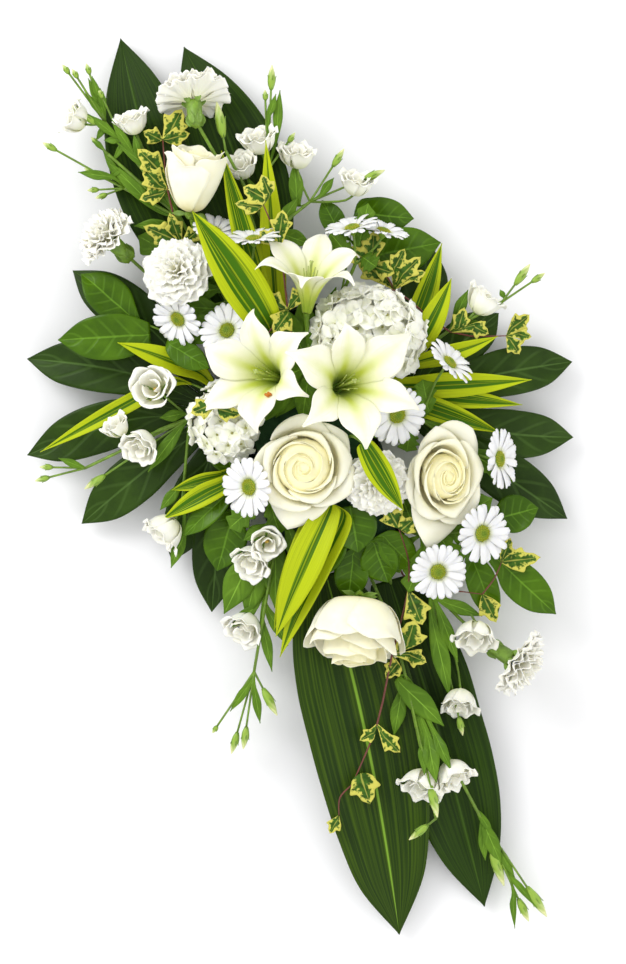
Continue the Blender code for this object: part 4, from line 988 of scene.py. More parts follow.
class SPRAY_OT_daisies(bpy.types.Operator):
    """Sprays of single daisies with grooved rays and raised discs"""

    bl_idname = "spray.daisies"
    bl_label = "Daisies"

    def execute(self, context):
        for name, joint, heads, way, leaves in DAISIES:
            joint = Vector(joint)
            middle = sum((Vector(head[0]) for head in heads), Vector()) / len(heads)
            way = Vector(way) if way else middle - joint
            bm = new_drawing()
            stem(bm, rooted(joint, way, 56, 3) + [joint + way.normalized() * 1.5], 1.8, 8, 1)
            for number, (place, aim, radius) in enumerate(heads):
                aim = Vector(aim).normalized()
                end = Vector(place) - aim * 7
                out = (end - aim * 8 - joint).normalized()
                stem(bm, curve_points(joint, out, end, aim, 3), 1.3, 7, 1)
                self.head(bm, facing(place, aim, 0.37 * number), radius, random.Random(int(radius) + number))
            for base, tip, width in leaves:
                leaf(bm, base, tip, width, DAISY_LEAF, 3.0, 0.12, stalk=joint, columns=10, rows=24,
                     paint=4, ruffle=0.2, forward=0.3)
            paints = ("daisy_ray", "fresh_stem", "daisy_disc", "calyx_green", "spray_leaf")
            finish_piece(bm, name + "_heads", paints, "daisy_spray", name)
        return {"FINISHED"}

    def head(self, bm, at, radius, draw):
        for number in range(DAISY_RAYS):
            middle = math.tau * number / DAISY_RAYS + draw.uniform(-0.05, 0.05)
            length = radius * draw.uniform(0.94, 1.02)
            cup = 3.4 + (1.1 if number % 2 else -0.5) + draw.uniform(-0.8, 0.8)
            out, side = polar(1.0, middle, 0.0), polar(1.0, middle + math.pi / 2, 0.0)
            twist = draw.uniform(-0.18, 0.18)

            def shape(u, v):
                half = 0.118 * radius * smooth((0.42, 0.8, 1.0, 1.02, 0.8), v)
                reach = 0.24 * radius + (length - 0.24 * radius) * v * (1.0 - 0.07 * u * u)
                height = cup * math.sin(1.9 * v) + 0.3 * math.cos(math.tau * u) + twist * half * u
                return at @ (out * reach + side * (half * u) + UP * height)

            sheet(bm, 4, 6, shape, petal_thick(), 0, draw.uniform(0.3, 0.8))
        disc = 0.26 * radius
        stem(bm, upright(at, (-1.0, 1.2, 3.0)), (disc, disc * 0.98, disc * 0.5), 14, 2, 0.2, 2)
        tones = bm.verts.layers.float["tone"]
        for number in range(DISC_FLORETS):
            share = math.sqrt((number + 0.5) / DISC_FLORETS)
            place = polar(disc * share, number * GOLDEN, 3.6 - 2.0 * share ** 3)
            bump = bmesh.ops.create_cone(bm, cap_ends=True, segments=5, radius1=disc * 0.115,
                                         radius2=disc * 0.05, depth=1.5,
                                         matrix=at @ Matrix.Translation(place))
            for vert in bump["verts"]:
                vert[tones] = share
            for face in faces_round(bump["verts"]):
                face.material_index = 2
        stem(bm, upright(at, (-7.6, -5.0, -2.4, -0.9)), (1.5, 3.4, 0.2 * radius, 0.24 * radius), 10, 3)


# Node, joint, blooms with place, aim, size and fork, buds with tip, fork and length, leaves with fork,
# base, tip and width, the height that the stem roots at, the way that it arrives (None for towards the
# first bloom), and the forks. Fork 0 is the joint.
LISIANTHUS = (
    ("lisianthus_upper_left", (-129, 221, 58), (
        ((-180, 323, 62), (-0.3, 0.8, 0.3), 18, 0), ((-241, 324, 54), (-0.8, 0.4, 0.3), 18, 1)), (
        ((-248, 376, 48), 1, 12), ((-238, 371, 54), 1, 11), ((-224, 377, 50), 1, 12),
        ((-268, 298, 46), 2, 17), ((-223, 250, 48), 2, 12), ((-238, 335, 50), 3, 18),
        ((-229, 327, 54), 3, 20), ((-215, 242, 50), 2, 13),
        ((-226, 272, 48), 2, 10), ((-219, 303, 50), 5, 9), ((-212, 352, 54), 3, 12)), (
        (0, (-150, 262, 60), (-196, 300, 54), 9), (2, (-196, 262, 56), (-232, 268, 52), 10),
        (0, (-148, 244, 60), (-172, 296, 54), 9), (0, (-152, 230, 56), (-204, 280, 50), 14),
        (1, (-206, 322, 50), (-226, 350, 50), 7), (2, (-188, 256, 50), (-208, 292, 46), 8),
        (5, (-206, 290, 52), (-218, 302, 50), 6), (5, (-196, 282, 52), (-182, 302, 52), 7),
        (1, (-210, 338, 52), (-218, 364, 54), 7), (5, (-190, 272, 52), (-200, 262, 50), 7),
        (1, (-204, 316, 50), (-214, 300, 48), 7), (0, (-140, 216, 58), (-176, 214, 56), 12),
        (1, (-208, 332, 50), (-222, 362, 52), 9), (1, (-206, 330, 50), (-210, 352, 54), 8),
        (3, (-192, 302, 56), (-222, 326, 54), 9), (3, (-188, 300, 54), (-206, 300, 52), 8),
        (4, (-176, 286, 58), (-198, 318, 56), 9), (4, (-170, 280, 60), (-176, 306, 60), 8),
        (0, (-136, 236, 62), (-152, 268, 64), 10), (0, (-142, 236, 60), (-168, 258, 60), 10)), 46, None,
     ((-205, 318, 50), (-186, 252, 50), (-186, 296, 54), (-164, 274, 60), (-202, 286, 52))),
    ("lisianthus_top", (-40, 205, 66), (
        ((-52, 304, 70), (-0.2, 0.8, 0.4), 19, 1), ((-70, 276, 72), (-0.3, 0.6, 0.5), 17, 0),
        ((-12, 290, 68), (0.05, 0.85, 0.42), 19, 2), ((48, 262, 64), (0.15, 0.85, 0.4), 18, 2)), (
        ((-38, 375, 56), 1, 26), ((-93, 337, 70), 3, 38), ((34, 291, 58), 2, 22), ((75, 270, 54), 2, 24),
        ((-15, 307, 60), 1, 12), ((-45, 350, 58), 1, 11)), (
        (1, (-34, 300, 58), (-30, 350, 54), 10), (2, (-12, 234, 58), (-16, 278, 54), 15),
        (0, (-46, 228, 64), (-62, 262, 62), 11), (0, (-34, 198, 64), (-4, 160, 62), 20),
        (0, (-30, 206, 64), (0, 196, 60), 18), (0, (-32, 212, 64), (-12, 242, 60), 14),
        (1, (-44, 282, 60), (-60, 300, 60), 8),
        (1, (-42, 318, 60), (-34, 346, 56), 8), (2, (10, 244, 60), (24, 262, 58), 9)), 52, None,
     ((-42, 270, 60), (0, 238, 60), (-84, 288, 74))),
    ("lisianthus_right", (140, 110, 58), (
        ((177, 144, 66), (0.55, 0.75, 0.14), 20, 0),), (
        ((220, 176, 60), 1, 27), ((235, 167, 56), 1, 17)), (
        (0, (150, 112, 58), (176, 116, 56), 12), (0, (144, 120, 58), (158, 150, 58), 12),
        (1, (194, 142, 58), (190, 150, 58), 6)), 50, None, ((192, 138, 58),)),
    ("lisianthus_left", (-120, 22, 62), (
        ((-158, 53, 86), (-0.3, 0.2, 0.93), 22, 0), ((-172, -10, 80), (-0.45, -0.6, 0.6), 20, 0),
        ((-195, 17, 74), (-0.5, 0.7, 0.35), 15, 0),
        ((-150, -96, 60), (-0.68, -0.7, 0.22), 22, 2)), (
        ((-271, -27, 44), 1, 14), ((-276, -41, 42), 1, 16), ((-226, -49, 44), 0, 26)), (
        (0, (-128, 14, 60), (-162, -32, 56), 14), (1, (-226, -28, 46), (-252, -18, 46), 8),
        (2, (-130, -46, 54), (-150, -70, 52), 12), (2, (-126, -92, 54), (-139, -128, 52), 13),
        (0, (-126, 26, 62), (-150, 22, 66), 12)), 52, None,
     ((-225, -28, 46), (-126, -42, 54))),
    ("lisianthus_low_left", (-30, -80, 82), (
        ((-60, -124, 84), (-0.4, -0.6, 0.7), 20, 0), ((-42, -104, 98), (0.1, -0.3, 0.95), 17, 0),
        ((-67, -193, 58), (-0.4, -0.7, 0.6), 21, 1)), (
        ((-79, -315, 30), 2, 24), ((-67, -310, 38), 2, 24), ((-33, -276, 44), 2, 32),
        ((-98, -294, 36), 2, 9)), (
        (0, (-22, -88, 84), (-8, -126, 82), 18), (0, (-44, -86, 82), (-66, -100, 80), 16),
        (1, (-44, -166, 56), (-22, -206, 52), 12), (0, (-56, -112, 62), (-86, -174, 52), 32),
        (1, (-52, -164, 56), (-80, -188, 50), 12), (2, (-58, -240, 44), (-80, -272, 38), 9),
        (2, (-56, -246, 44), (-50, -284, 40), 9), (1, (-48, -178, 56), (-38, -232, 46), 11),
        (0, (-34, -96, 72), (-35, -168, 62), 26), (0, (-48, -112, 66), (-64, -178, 52), 26)), 54,
     (-0.3, -0.6, 0.5), ((-45, -150, 58), (-56, -232, 44))),
    ("lisianthus_low_right", (120, -150, 60), (
        ((164, -201, 74), (-0.1, -0.8, 0.5), 21, 0), ((149, -268, 58), (-0.1, -0.85, 0.42), 19, 0)), (
        ((153, -296, 46), 0, 20),), (
        (0, (128, -168, 60), (148, -222, 56), 14), (0, (122, -178, 60), (140, -258, 54), 18),
        (0, (130, -160, 60), (172, -176, 58), 14)), 54, None, ()),
    ("lisianthus_bottom", (95, -235, 56), (
        ((109, -350, 60), (-0.35, -0.8, 0.4), 21, 0), ((147, -340, 60), (0.45, -0.75, 0.4), 21, 0)), (
        ((99, -400, 54), 2, 26), ((127, -376, 78), 0, 34), ((195, -448, 28), 1, 42), ((238, -479, 26), 1, 38),
        ((220, -484, 24), 1, 27)), (
        (0, (102, -246, 56), (122, -306, 50), 14), (0, (88, -240, 58), (134, -286, 60), 24),
        (1, (174, -384, 38), (192, -426, 34), 15), (1, (172, -386, 38), (176, -422, 32), 10),
        (1, (202, -444, 30), (206, -491, 24), 7), (1, (196, -430, 30), (228, -470, 30), 7),
        (1, (168, -372, 38), (184, -396, 36), 8), (1, (186, -404, 34), (206, -440, 28), 9),
        (0, (92, -250, 54), (84, -296, 48), 16), (0, (116, -292, 62), (126, -342, 76), 17),
        (0, (112, -294, 62), (114, -334, 74), 11), (0, (122, -288, 62), (141, -330, 74), 12)), 50, None,
     ((172, -380, 38), (126, -378, 62))),
)


class SPRAY_OT_lisianthus(bpy.types.Operator):
    """Sprays of lisianthus: cup flowers, twisted buds and narrow leaves on forked stems"""

    bl_idname = "spray.lisianthus"
    bl_label = "Lisianthus"

    def execute(self, context):
        for spray in LISIANTHUS:
            self.spray(*spray)
        return {"FINISHED"}

    def spray(self, name, joint, blooms, buds, leaves, height, way, forks):
        joint = Vector(joint)
        spots = [joint] + [Vector(fork) for fork in forks]
        way = Vector(way) if way else Vector(blooms[0][0]) - joint
        bm = new_drawing()
        stem(bm, rooted(joint, way, height, 3) + [joint + way.normalized() * 1.2], 1.7, 8, 1)
        for fork in spots[1:]:
            start = joint - (fork - joint).normalized() * 0.6
            stem(bm, (start, joint.lerp(fork, 0.5) + UP * 3, fork), 1.6, 7, 1, fine=8)
        for number, (place, aim, size, which) in enumerate(blooms):
            aim = Vector(aim).normalized()
            foot = Vector(place) - aim * size * 1.05
            out = (foot - aim * 8 - spots[which]).normalized()
            stem(bm, curve_points(spots[which], out, foot + aim * 1.5, aim, 3), 1.2, 7, 1)
            self.bloom(bm, facing(foot, aim, 1.3 * number), size, random.Random(int(size * 7) + number))
        for tip, which, length in buds:
            self.bud(bm, Vector(tip), spots[which], length)
        for which, base, tip, width in leaves:
            leaf(bm, base, tip, width, SLIM, 2.0, 0.1, stalk=spots[which], columns=6, rows=16,
                 paint=2, ruffle=0.1)
        paints = ("lisianthus_petal", "fresh_stem", "spray_leaf", "lisianthus_bud", "calyx_green",
                  "golden_pistil")
        finish_piece(bm, name + "_spray", paints, "lisianthus_spray", name)

    def bloom(self, bm, at, size, draw):
        for petal in range(LISIANTHUS_PETALS):
            share = petal / (LISIANTHUS_PETALS - 1)
            rim = smooth((1.0, 0.92, 0.66, 0.32), share)
            petal_ring(bm, at, 1, rim * size, 1.12 * size, LISIANTHUS_CUP, smooth((0.8, 0.9, 1.5), share),
                       petal * GOLDEN, draw, 0.11 * size * ruffled(), lap=0.07, notch=0.22, point=0.07 * size,
                       tone=draw.uniform(0.3, 0.8), columns=12, rows=11, waves=1.2, fall=0.1 * size,
                       stray=0.06)
        stem(bm, upright(at, [share * size for share in (0.06, 0.3, 0.6)]), (1.6, 2.8, 1.4), 8, 5)
        stem(bm, upright(at, [share * size for share in (-0.06, 0.0, 0.1)]), (1.3, 2.6, 3.2), 8, 4)
        calyx(bm, at, (((2.6, 0, 0.4), (0.62 * size, 0, 0.62 * size)),), 2.6, -0.16 * size, 2, 6, 4, 0.3)

    def bud(self, bm, tip, start, length):
        out = (tip - start).normalized()
        slim = 0.4 + 0.6 * min(1.8, length / 24.0)
        foot = tip - out * length * 0.92
        stem(bm, (start, start.lerp(foot, 0.5) + UP * 1.0, foot), (1.3, 1.1, 1.1), 6, 1)
        body = [tip - out * length * share for share in (0.96, 0.8, 0.55, 0.3, 0.12, 0.0)]
        stem(bm, body, [slim * radius for radius in (1.0, 3.0, 3.7, 2.9, 1.5, 0.4)], 8, 3)
        calyx(bm, facing(tip - out * length * 0.96, out),
              (((1.4 * slim, 0, 0), (4.4 * slim, 0, 0.55 * length)),), 2.0, -0.8, 2, 5, 4)


# Name, base, tip, width, arch, fold, sway, outline and finish.
ASPIDISTRAS = (
    ("aspidistra_top_left", (-75, 120, 37), (-191, 405, 12), 92, 10, 0.16, -17, LANCE, "aspidistra_leaf"),
    ("aspidistra_top_right", (-40, 130, 44), (-127, 396, 18), 90, 10, 0.16, 15, LANCE, "aspidistra_leaf"),
    ("aspidistra_low_left", (16, -134, 50), (90, -498, 14), 114, 10, 0.10, -7, BROAD, "aspidistra_bright"),
    ("aspidistra_low_right", (80, -140, 38), (176, -470, 10), 94, 6, 0.10, -4, BLUNT, "aspidistra_leaf"),
)


class SPRAY_OT_aspidistra(bpy.types.Operator):
    """Long dark aspidistra leaves with parallel veins"""

    bl_idname = "spray.aspidistra"
    bl_label = "Aspidistra Leaves"

    def execute(self, context):
        for name, base, tip, width, arch, fold, sway, outline, paint in ASPIDISTRAS:
            base, tip = Vector(base), Vector(tip)
            bm = new_drawing()
            leaf(bm, base, tip, width, outline, arch, fold, wave=1.2, sway=sway, columns=24, rows=72,
                 ruffle=0.05)
            line = rooted(base, tip - base, base.z + 4)
            end = base + (tip - base).normalized() * 5
            stem(bm, line + [end], [2.6] * len(line) + [1.2], 10, 1)
            finish_piece(bm, name + "_blade", (paint, "fresh_stem"), "dark_leaf", name)
        return {"FINISHED"}


# Name, hub, tips, and how far the middle of each lobe bends.
FATSIAS = (
    ("fatsia_left", (-82, 30, 40), ((-239, 171, 16), (-285, 82, 18), (-285, -15, 16),
                                    (-230, -84, 16), (-139, -122, 16), (-99, -173, 14)),
     (11, 11, 12, 4, 3, 0)),
    ("fatsia_right", (88, 38, 40), ((126, 190, 14), (190, 128, 16), (264, 79, 18), (265, 3, 18),
                                    (259, -79, 16)), (6, 3, 5, -10, 0)),
)
FATSIA_WEB = 26.0
FATSIA_WIDTH = 34.0


class SPRAY_OT_fatsia(bpy.types.Operator):
    """Fatsia leaves lobed like a hand, one to each side"""

    bl_idname = "spray.fatsia"
    bl_label = "Fatsia Leaves"

    def execute(self, context):
        for name, hub, tips, bends in FATSIAS:
            hub = Vector(hub)
            middle = sum((Vector(tip) for tip in tips), Vector()) / len(tips)
            out = (middle - hub).normalized()
            bm = new_drawing()
            self.hand(bm, hub, tips, bends)
            line = rooted(hub - out * 4 - UP * 1.5, out, 46)
            stem(bm, line + [hub + out * 5 - UP * 1.2], 2.2, 10, 1)
            finish_piece(bm, name + "_hand", ("fatsia_leaf", "fresh_stem"), "dark_leaf", name)
        return {"FINISHED"}

    def hand(self, bm, hub, tips, bends):
        ways = [Vector(tip) - hub for tip in tips]
        arms = [way.normalized() for way in ways]
        webs = [hub + (a + b).normalized() * FATSIA_WEB for a, b in zip(arms, arms[1:])]
        turn = Matrix.Rotation(math.radians(32), 3, "Z")
        for arm, near, at_end in ((arms[0], arms[1], False), (arms[-1], arms[-2], True)):
            way = max((arm @ turn, turn @ arm), key=lambda w: (w - near).length)
            webs.insert(len(webs) if at_end else 0, hub + way * FATSIA_WEB * 0.8)
        for number, way in enumerate(ways):
            side = (webs[number + 1] - webs[number]).normalized()
            side = (side - arms[number] * side.dot(arms[number])).normalized()
            rows = [(webs[number], hub + arms[number] * FATSIA_WEB, webs[number + 1])]
            for share, size, lift in FATSIA_LOBE:
                centre = hub + way * share + Vector((0, bends[number] * math.sin(math.pi * share), lift))
                half = 0.5 * (FATSIA_WIDTH + 0.06 * way.length) * size
                ripple = UP * (1.6 * (-1) ** number if lift > 4 else 0.0)
                rise = UP * 2.5 * min(size * 2, 1)
                rows.append((centre - side * half + rise + ripple, centre,
                             centre + side * half + rise - ripple))
            self.lobe(bm, hub, list(zip(*rows)), number)
        bmesh.ops.remove_doubles(bm, verts=bm.verts[:], dist=MERGE)
        bmesh.ops.recalc_face_normals(bm, faces=bm.faces[:])
        thicken(bm, bm.verts[:], leaf_thick())

    def lobe(self, bm, hub, lines, number):
        rows = 36
        start = 4 / rows

        def shape(u, v):
            if v <= start:
                left, middle, right = (hub.lerp(line[0], v / start) for line in lines)
                billow = 0.0
            else:
                t = (v - start) / (1.0 - start)
                left, middle, right = (smooth(line, t) for line in lines)
                billow = math.sin(7.0 * t + number) * 0.9 * math.sin(math.pi * t) * u * u
            spot = middle.lerp(left if u < 0 else right, abs(u))
            return spot + UP * (billow + 0.9 * (abs(u) ** 0.6 - abs(u)) * min(1.0, v * 4))

        sheet(bm, 14, rows, shape, 0.0, 0, 0.3 + 0.1 * (number % 4))


# Node, stem points, leaves with the stem point they grow from, base, tip, width and roll, and the height
# that the stem roots at. The points that the twigs end at count on from the stem's.
SALALS = (
    ("salal_left", ((-95, 75, 62), (-140, 105, 62), (-170, 118, 60)), (
        (2, (-180, 124, 61), (-229, 166, 58), 40, 0.2), (2, (-160, 106, 62), (-252, 100, 56), 46, -0.1),
        (1, (-140, 96, 76), (-100, 71, 84), 27, 0.1)), 56),
    ("salal_top", ((34, 160, 50), (40, 200, 50)), (
        (1, (46, 228, 50), (104, 222, 44), 36, 0.1), (1, (30, 206, 52), (12, 240, 48), 24, 0.1),
        (1, (58, 184, 48), (131, 198, 44), 46, 0.1)), 44),
    ("salal_low_left", ((-66, -45, 58), (-74, -66, 56)), (
        (0, (-78, -30, 62), (-96, 16, 62), 40, 0.3), (1, (-77, -76, 56), (-93, -131, 52), 43, 0.1),
        (0, (-80, -52, 66), (-126, -96, 64), 25, 0.2)), 52),
    ("salal_middle", ((45, -80, 88), (60, -100, 84)), (
        (0, (40, -66, 90), (48, -112, 88), 46, 0.0), (1, (64, -104, 82), (78, -142, 74), 38, 0.2),
        (0, (30, -88, 84), (4, -138, 76), 34, 0.1), (1, (72, -96, 82), (104, -128, 72), 34, -0.1),
        (1, (44, -112, 78), (38, -160, 70), 34, 0.0)), 48),
    ("salal_right", ((120, -70, 66), (160, -95, 62)), (
        (1, (185, -80, 62), (228, -68, 60), 38, -0.2), (1, (190, -122, 60), (246, -174, 52), 38, 0.1),
        (1, (162, -116, 56), (186, -182, 50), 30, 0.0)), 54),
)
# The same, then the way that the stem arrives, the blades' arch, the tone that the first one has, as a
# step from 0 to 3, and the twigs with the point that they leave from.
STRIPED = (
    ("striped_top", ((-40, 105, 92),), (
        (0, (-43, 114, 116), (-116, 225, 130), 45, 0.2), (0, (-42, 122, 80), (-88, 287, 92), 26, -0.1),
        (0, (-34, 122, 80), (-44, 298, 88), 25, 0.1)), 62, (-0.3, 1, 0.3), 4, 2, ()),
    ("striped_right", ((76, 66, 70), (90, 72, 68)), (
        (0, (92, 54, 74), (221, 60, 70), 26, 0.2), (0, (94, 48, 66), (212, 35, 64), 22, 0.0),
        (0, (88, 42, 74), (190, 7, 70), 24, -0.1),
        (1, (108, 78, 70), (187, 103, 76), 20, 0.3), (1, (106, 92, 66), (141, 161, 72), 26, 0.2),
        (1, (98, 98, 52), (132, 197, 50), 25, 0.2)), 58, (1, 0.4, 0.0), 6, 1, ()),
    ("striped_left", ((-90, 44, 58), (-118, 56, 56)), (
        (0, (-108, 66, 58), (-192, 97, 70), 24, 0.2), (1, (-140, 58, 52), (-270, -12, 50), 18, 0.1),
        (2, (-82, -42, 70), (-147, -79, 64), 22, 0.1), (2, (-88, -36, 66), (-138, -50, 60), 16, 0.0)), 52,
     (-1, 0.4, 0.1), 6, 0, ((0, (-86, 6, 58), (-78, -28, 62)),)),
    ("striped_low", ((20, -62, 104),), (
        (0, (19, -70, 104), (-34, -196, 72), 36, 0.1), (0, (34, -76, 96), (-30, -217, 58), 28, 0.2),
        (0, (2, -78, 98), (-36, -190, 66), 20, 0.1)), 58, (-0.3, -1, 0.2), 16, 0, ()),
    ("striped_centre", ((52, -4, 150),), ((0, (54, -6, 151), (92, -70, 146), 26, 0.1),), 50,
     (0.5, -0.6, 0.6), 8, 3, ()),
)
# The same as the salals, then the way that the stem arrives (None for from its first point to its
# second), the shift of its root across and along the foam, and the twigs.
IVIES = (
    ("ivy_top_left", ((-128, 196, 68), (-142, 250, 68), (-147, 300, 64)), (
        (0, (-136, 200, 68), (-166, 213, 66), 25, 0.1), (1, (-150, 254, 70), (-166, 271, 70), 25, 0.0),
        (1, (-150, 268, 70), (-172, 290, 68), 26, 0.2), (2, (-140, 306, 66), (-128, 330, 64), 27, 0.0),
        (2, (-142, 300, 66), (-120, 306, 66), 20, 0.1), (2, (-150, 300, 64), (-166, 308, 66), 19, 0.0),
        (1, (-136, 244, 70), (-122, 256, 72), 18, 0.0), (1, (-148, 246, 68), (-170, 240, 66), 20, 0.1),
        (0, (-132, 204, 70), (-140, 226, 72), 19, 0.0), (0, (-122, 200, 72), (-108, 212, 74), 18, 0.1)),
     68, None, (-8, -8), ()),
    ("ivy_top", ((-22, 128, 112), (-30, 190, 104), (-46, 232, 109)), (
        (0, (-22, 124, 122), (-36, 104, 130), 26, 0.0), (1, (-30, 204, 110), (-27, 227, 112), 23, 0.1),
        (2, (-44, 238, 109), (-66, 250, 106), 26, 0.1), (3, (-98, 34, 130), (-117, 26, 127), 22, 0.0),
        (3, (-90, 30, 132), (-69, 24, 131), 21, 0.1), (0, (-30, 130, 116), (-46, 146, 114), 22, 0.1),
        (2, (-50, 230, 108), (-74, 234, 104), 19, 0.0), (2, (-40, 242, 109), (-48, 262, 106), 19, 0.1),
        (1, (-36, 196, 107), (-50, 206, 107), 18, 0.1), (0, (-16, 136, 114), (-4, 150, 112), 20, 0.0)), 60,
     None, (0, 0), ((0, (-52, 92, 116), (-90, 36, 130)),)),
    ("ivy_right", ((84, 150, 66), (140, 108, 62), (196, 104, 62)), (
        (0, (70, 164, 62), (48, 180, 62), 28, 0.1), (0, (92, 164, 78), (110, 182, 80), 22, 0.0),
        (1, (162, 114, 66), (178, 106, 66), 20, 0.1), (2, (202, 112, 62), (219, 125, 62), 21, 0.2),
        (2, (200, 100, 62), (209, 86, 60), 19, 0.0), (3, (56, 178, 74), (38, 192, 74), 22, 0.1),
        (3, (62, 184, 74), (64, 208, 72), 24, 0.0), (3, (66, 172, 76), (84, 166, 78), 22, 0.2),
        (0, (98, 162, 78), (115, 167, 78), 16, 0.1), (0, (84, 170, 78), (94, 190, 78), 20, 0.0),
        (1, (148, 112, 66), (154, 132, 64), 19, 0.1), (2, (208, 106, 62), (221, 103, 62), 14, 0.2)), 50,
     (0.4, 1, 0), (0, 0), ((0, (76, 164, 70), (62, 176, 74)),)),
    ("ivy_low", ((98, -150, 66), (82, -214, 70), (67, -284, 60), (42, -345, 52)), (
        (0, (102, -160, 72), (112, -184, 74), 30, 0.1), (1, (96, -206, 70), (104, -180, 76), 34, 0.1),
        (2, (74, -296, 60), (90, -312, 58), 20, 0.1), (3, (50, -334, 54), (60, -364, 50), 32, 0.0),
        (6, (28, -380, 46), (20, -394, 44), 16, 0.2), (1, (88, -222, 68), (76, -238, 66), 19, 0.1),
        (1, (98, -214, 68), (116, -222, 68), 20, 0.0), (2, (64, -292, 60), (50, -300, 58), 15, 0.0),
        (4, (86, -84, 98), (76, -66, 100), 26, 0.0),
        (4, (90, -90, 98), (104, -78, 98), 22, 0.1), (5, (174, -158, 64), (186, -182, 62), 24, 0.1),
        (7, (196, -121, 68), (230, -117, 64), 25, 0.1), (7, (193, -116, 68), (200, -98, 66), 17, 0.0)), 54,
     (0.1, -1, 0), (0, 0), ((0, (98, -120, 82), (88, -88, 98)), (0, (136, -150, 66), (172, -154, 64)),
                              (3, (30, -358, 50), (29, -376, 46)), (5, (184, -138, 66), (191, -122, 68)))),
)


def sprig(name, suffix, points, leaves, outline, radius, height, way, shift, fold, arch, paints, slot,
          twigs=(), first=0, **shape):
    """Builds a leafy sprig: a rooted stem through its points, its twigs, and leaves on short feet."""
    points = [Vector(point) for point in points]
    way = Vector(way) if way else points[1] - points[0]
    line = rooted(points[0], way, height, 3, shift) + points[1:]
    bm = new_drawing()
    stem(bm, line, [radius] * (len(line) - 1) + [radius * 0.6], 8, 1)
    for start, *rest in twigs:
        twig = [points[start]] + [Vector(point) for point in rest]
        stem(bm, twig, [radius * 0.8] * (len(twig) - 1) + [radius * 0.5], 6, 1, fine=6)
        points.append(twig[-1])
    for number, (which, base, tip, width, roll) in enumerate(leaves):
        tone = 0.15 + 0.23 * ((number + first) % 4)
        leaf(bm, base, tip, width, outline, arch, fold, roll, stalk=points[which], tone=tone, **shape)
    finish_piece(bm, name + suffix, paints, slot, name)


class SPRAY_OT_salal(bpy.types.Operator):
    """Sprigs of glossy oval salal leaves"""

    bl_idname = "spray.salal"
    bl_label = "Salal Sprigs"

    def execute(self, context):
        for name, points, leaves, height in SALALS:
            sprig(name, "_sprig", points, leaves, OVAL, 1.2, height, None, (0, 0), 0.15, 3.0,
                  ("glossy_leaf", "fresh_stem"), "salal_leaf", columns=12, rows=26, ruffle=0.16)
        return {"FINISHED"}


class SPRAY_OT_striped(bpy.types.Operator):
    """Tufts of long striped blades"""

    bl_idname = "spray.striped"
    bl_label = "Striped Blades"

    def execute(self, context):
        for name, points, leaves, height, way, arch, first, twigs in STRIPED:
            sprig(name, "_tuft", points, leaves, STRAP, 1.6, height, way, (0, 0), 0.3, arch,
                  ("striped_blade", "fresh_stem"), "striped_leaf", twigs, first, columns=10, rows=34,
                  ruffle=0.06)
        return {"FINISHED"}


class SPRAY_OT_ivy(bpy.types.Operator):
    """Trails of small variegated ivy leaves on wiry red stems"""

    bl_idname = "spray.ivy"
    bl_label = "Ivy Trails"

    def execute(self, context):
        for name, points, leaves, height, way, shift, twigs in IVIES:
            sprig(name, "_trail", points, leaves, IVY_LEAF, 1.0, height, way, shift, 0.08, 2,
                  ("variegated_leaf", "ivy_stem"), "ivy_leaf", twigs, columns=12, rows=28, ruffle=0.14,
                  stalk_half=0.7, forward=0.5)
        return {"FINISHED"}


class SPRAY_OT_holder(bpy.types.Operator):
    """Finishes of the tray and of the drilled foam"""

    bl_idname = "spray.holder"
    bl_label = "Tray and Foam"

    def execute(self, context):
        for name, paint in (("spray_tray", "moulded_plastic"), ("floral_foam", "wet_foam")):
            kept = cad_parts[name]
            kept.data.materials.clear()
            kept.data.materials.append(finish(paint))
        return {"FINISHED"}


# Middle of the picture in plan, and the height at which one pixel is one millimetre.
PICTURE_MIDDLE = Vector((3.0, -42.0, 55.0))
SENSOR = 36.0
FLOOR_HALF = 6.0
# Name, place in metres, share of the lamp's power, and width.
LAMPS = (("key_lamp", (-2.2, 1.9, 2.3), 1.0, 1.8), ("fill_lamp", (2.4, -1.2, 1.9), 0.3, 2.4))


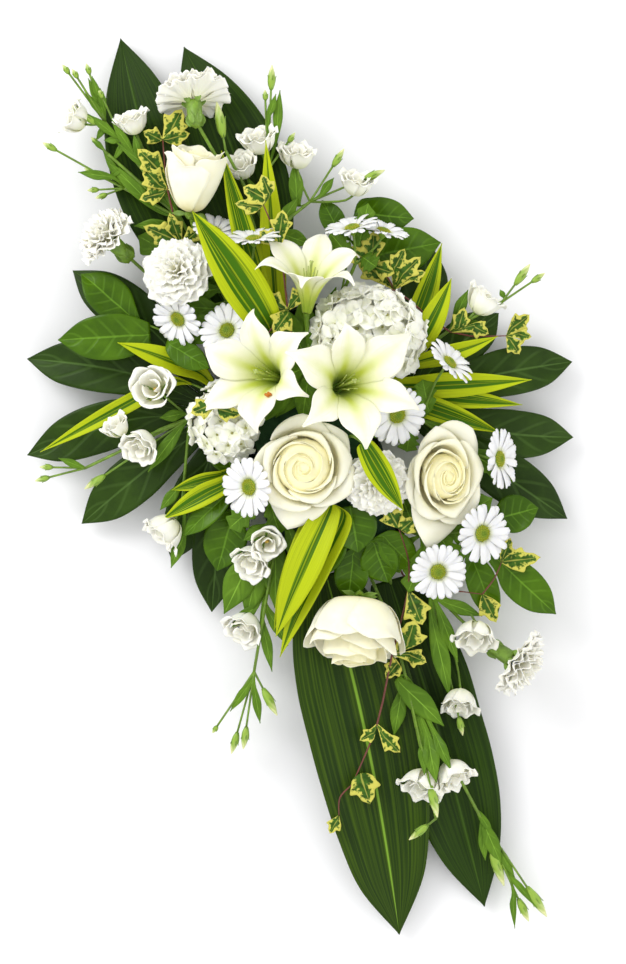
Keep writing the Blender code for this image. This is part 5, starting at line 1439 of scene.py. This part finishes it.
class SPRAY_OT_stage(bpy.types.Operator):
    """Pale floor, soft light from above and a camera that looks straight down"""

    bl_idname = "spray.stage"
    bl_label = "Floor, Light and Camera"

    def execute(self, context):
        settings = context.scene.spray_stage
        self.floor(settings)
        self.light(settings)
        middle = ROW @ PICTURE_MIDDLE
        camera = bpy.data.cameras.new("picture_camera")
        camera.lens = settings.lens
        camera.sensor_width = SENSOR
        view = bpy.data.objects.new("picture_camera", camera)
        context.scene.collection.objects.link(view)
        view.location = middle + UP * settings.span * settings.lens / SENSOR
        view.rotation_euler = (0.0, 0.0, -LEAN)
        context.scene.camera = view
        context.scene.view_settings.view_transform = "Standard"
        return {"FINISHED"}

    def floor(self, settings):
        bm = bmesh.new()
        bmesh.ops.create_grid(bm, x_segments=1, y_segments=1, size=FLOOR_HALF)
        mesh = bpy.data.meshes.new("studio_floor")
        bm.to_mesh(mesh)
        bm.free()
        made, tree, shader = new_finish("pale_floor", 0.8)
        white = tuple(settings.floor_white)
        base = blend(tree, between(tree, grain(tree, 3.0), 0.3, 0.7), white,
                     [0.985 * value for value in white])
        dress(tree, shader, base, grain(tree, 200.0), 0.05, 0.0002)
        mesh.materials.append(made)
        floor = bpy.data.objects.new("studio_floor", mesh)
        bpy.context.scene.collection.objects.link(floor)

    def light(self, settings):
        world = bpy.data.worlds.new("soft_sky")
        world.use_nodes = True
        sky = world.node_tree.nodes["Background"]
        sky.inputs["Color"].default_value = (1.0, 1.0, 1.0, 1.0)
        sky.inputs["Strength"].default_value = settings.sky
        bpy.context.scene.world = world
        turn = Matrix.Rotation(-LEAN, 3, "Z")
        for name, place, power, size in LAMPS:
            lamp = bpy.data.lights.new(name, "AREA")
            lamp.energy = settings.lamp_power * power
            lamp.size = size
            made = bpy.data.objects.new(name, lamp)
            bpy.context.scene.collection.objects.link(made)
            made.location = turn @ Vector(place)
            made.rotation_mode = "QUATERNION"
            made.rotation_quaternion = (-made.location).to_track_quat("-Z", "Y")


PIECES = (
    SPRAY_OT_aspidistra, SPRAY_OT_fatsia, SPRAY_OT_salal, SPRAY_OT_striped, SPRAY_OT_ivy,
    SPRAY_OT_lisianthus, SPRAY_OT_daisies, SPRAY_OT_carnations, SPRAY_OT_hydrangeas, SPRAY_OT_roses,
    SPRAY_OT_lilies, SPRAY_OT_holder, SPRAY_OT_stage,
)


class SPRAY_PT_panel(bpy.types.Panel):
    """Lists the settings and the pieces of the spray"""

    bl_label = "Casket Spray"
    bl_space_type = "VIEW_3D"
    bl_region_type = "UI"
    bl_category = "Spray"

    def draw(self, context):
        scene = context.scene
        for title, group in (("Blooms", scene.spray_blooms), ("Leaves", scene.spray_leaves),
                             ("Stage", scene.spray_stage)):
            box = self.layout.box()
            box.label(text=title)
            for key in group.__annotations__:
                box.prop(group, key)
        for piece in PIECES:
            self.layout.operator(piece.bl_idname)


GROUPS = (
    ("spray_blooms", BloomSettings), ("spray_leaves", LeafSettings), ("spray_stage", StageSettings),
)


def register():
    for name, group in GROUPS:
        bpy.utils.register_class(group)
        setattr(bpy.types.Scene, name, PointerProperty(type=group))
    for piece in PIECES:
        bpy.utils.register_class(piece)
    bpy.utils.register_class(SPRAY_PT_panel)


def unregister():
    bpy.utils.unregister_class(SPRAY_PT_panel)
    for piece in reversed(PIECES):
        bpy.utils.unregister_class(piece)
    for name, group in reversed(GROUPS):
        delattr(bpy.types.Scene, name)
        bpy.utils.unregister_class(group)


def main():
    """Registers the add-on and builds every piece."""
    register()
    for piece in PIECES:
        group, action = piece.bl_idname.split(".")
        if getattr(getattr(bpy.ops, group), action)() != {"FINISHED"}:
            raise RuntimeError(piece.bl_label + " was not finished")


if __name__ == "__main__":
    main()
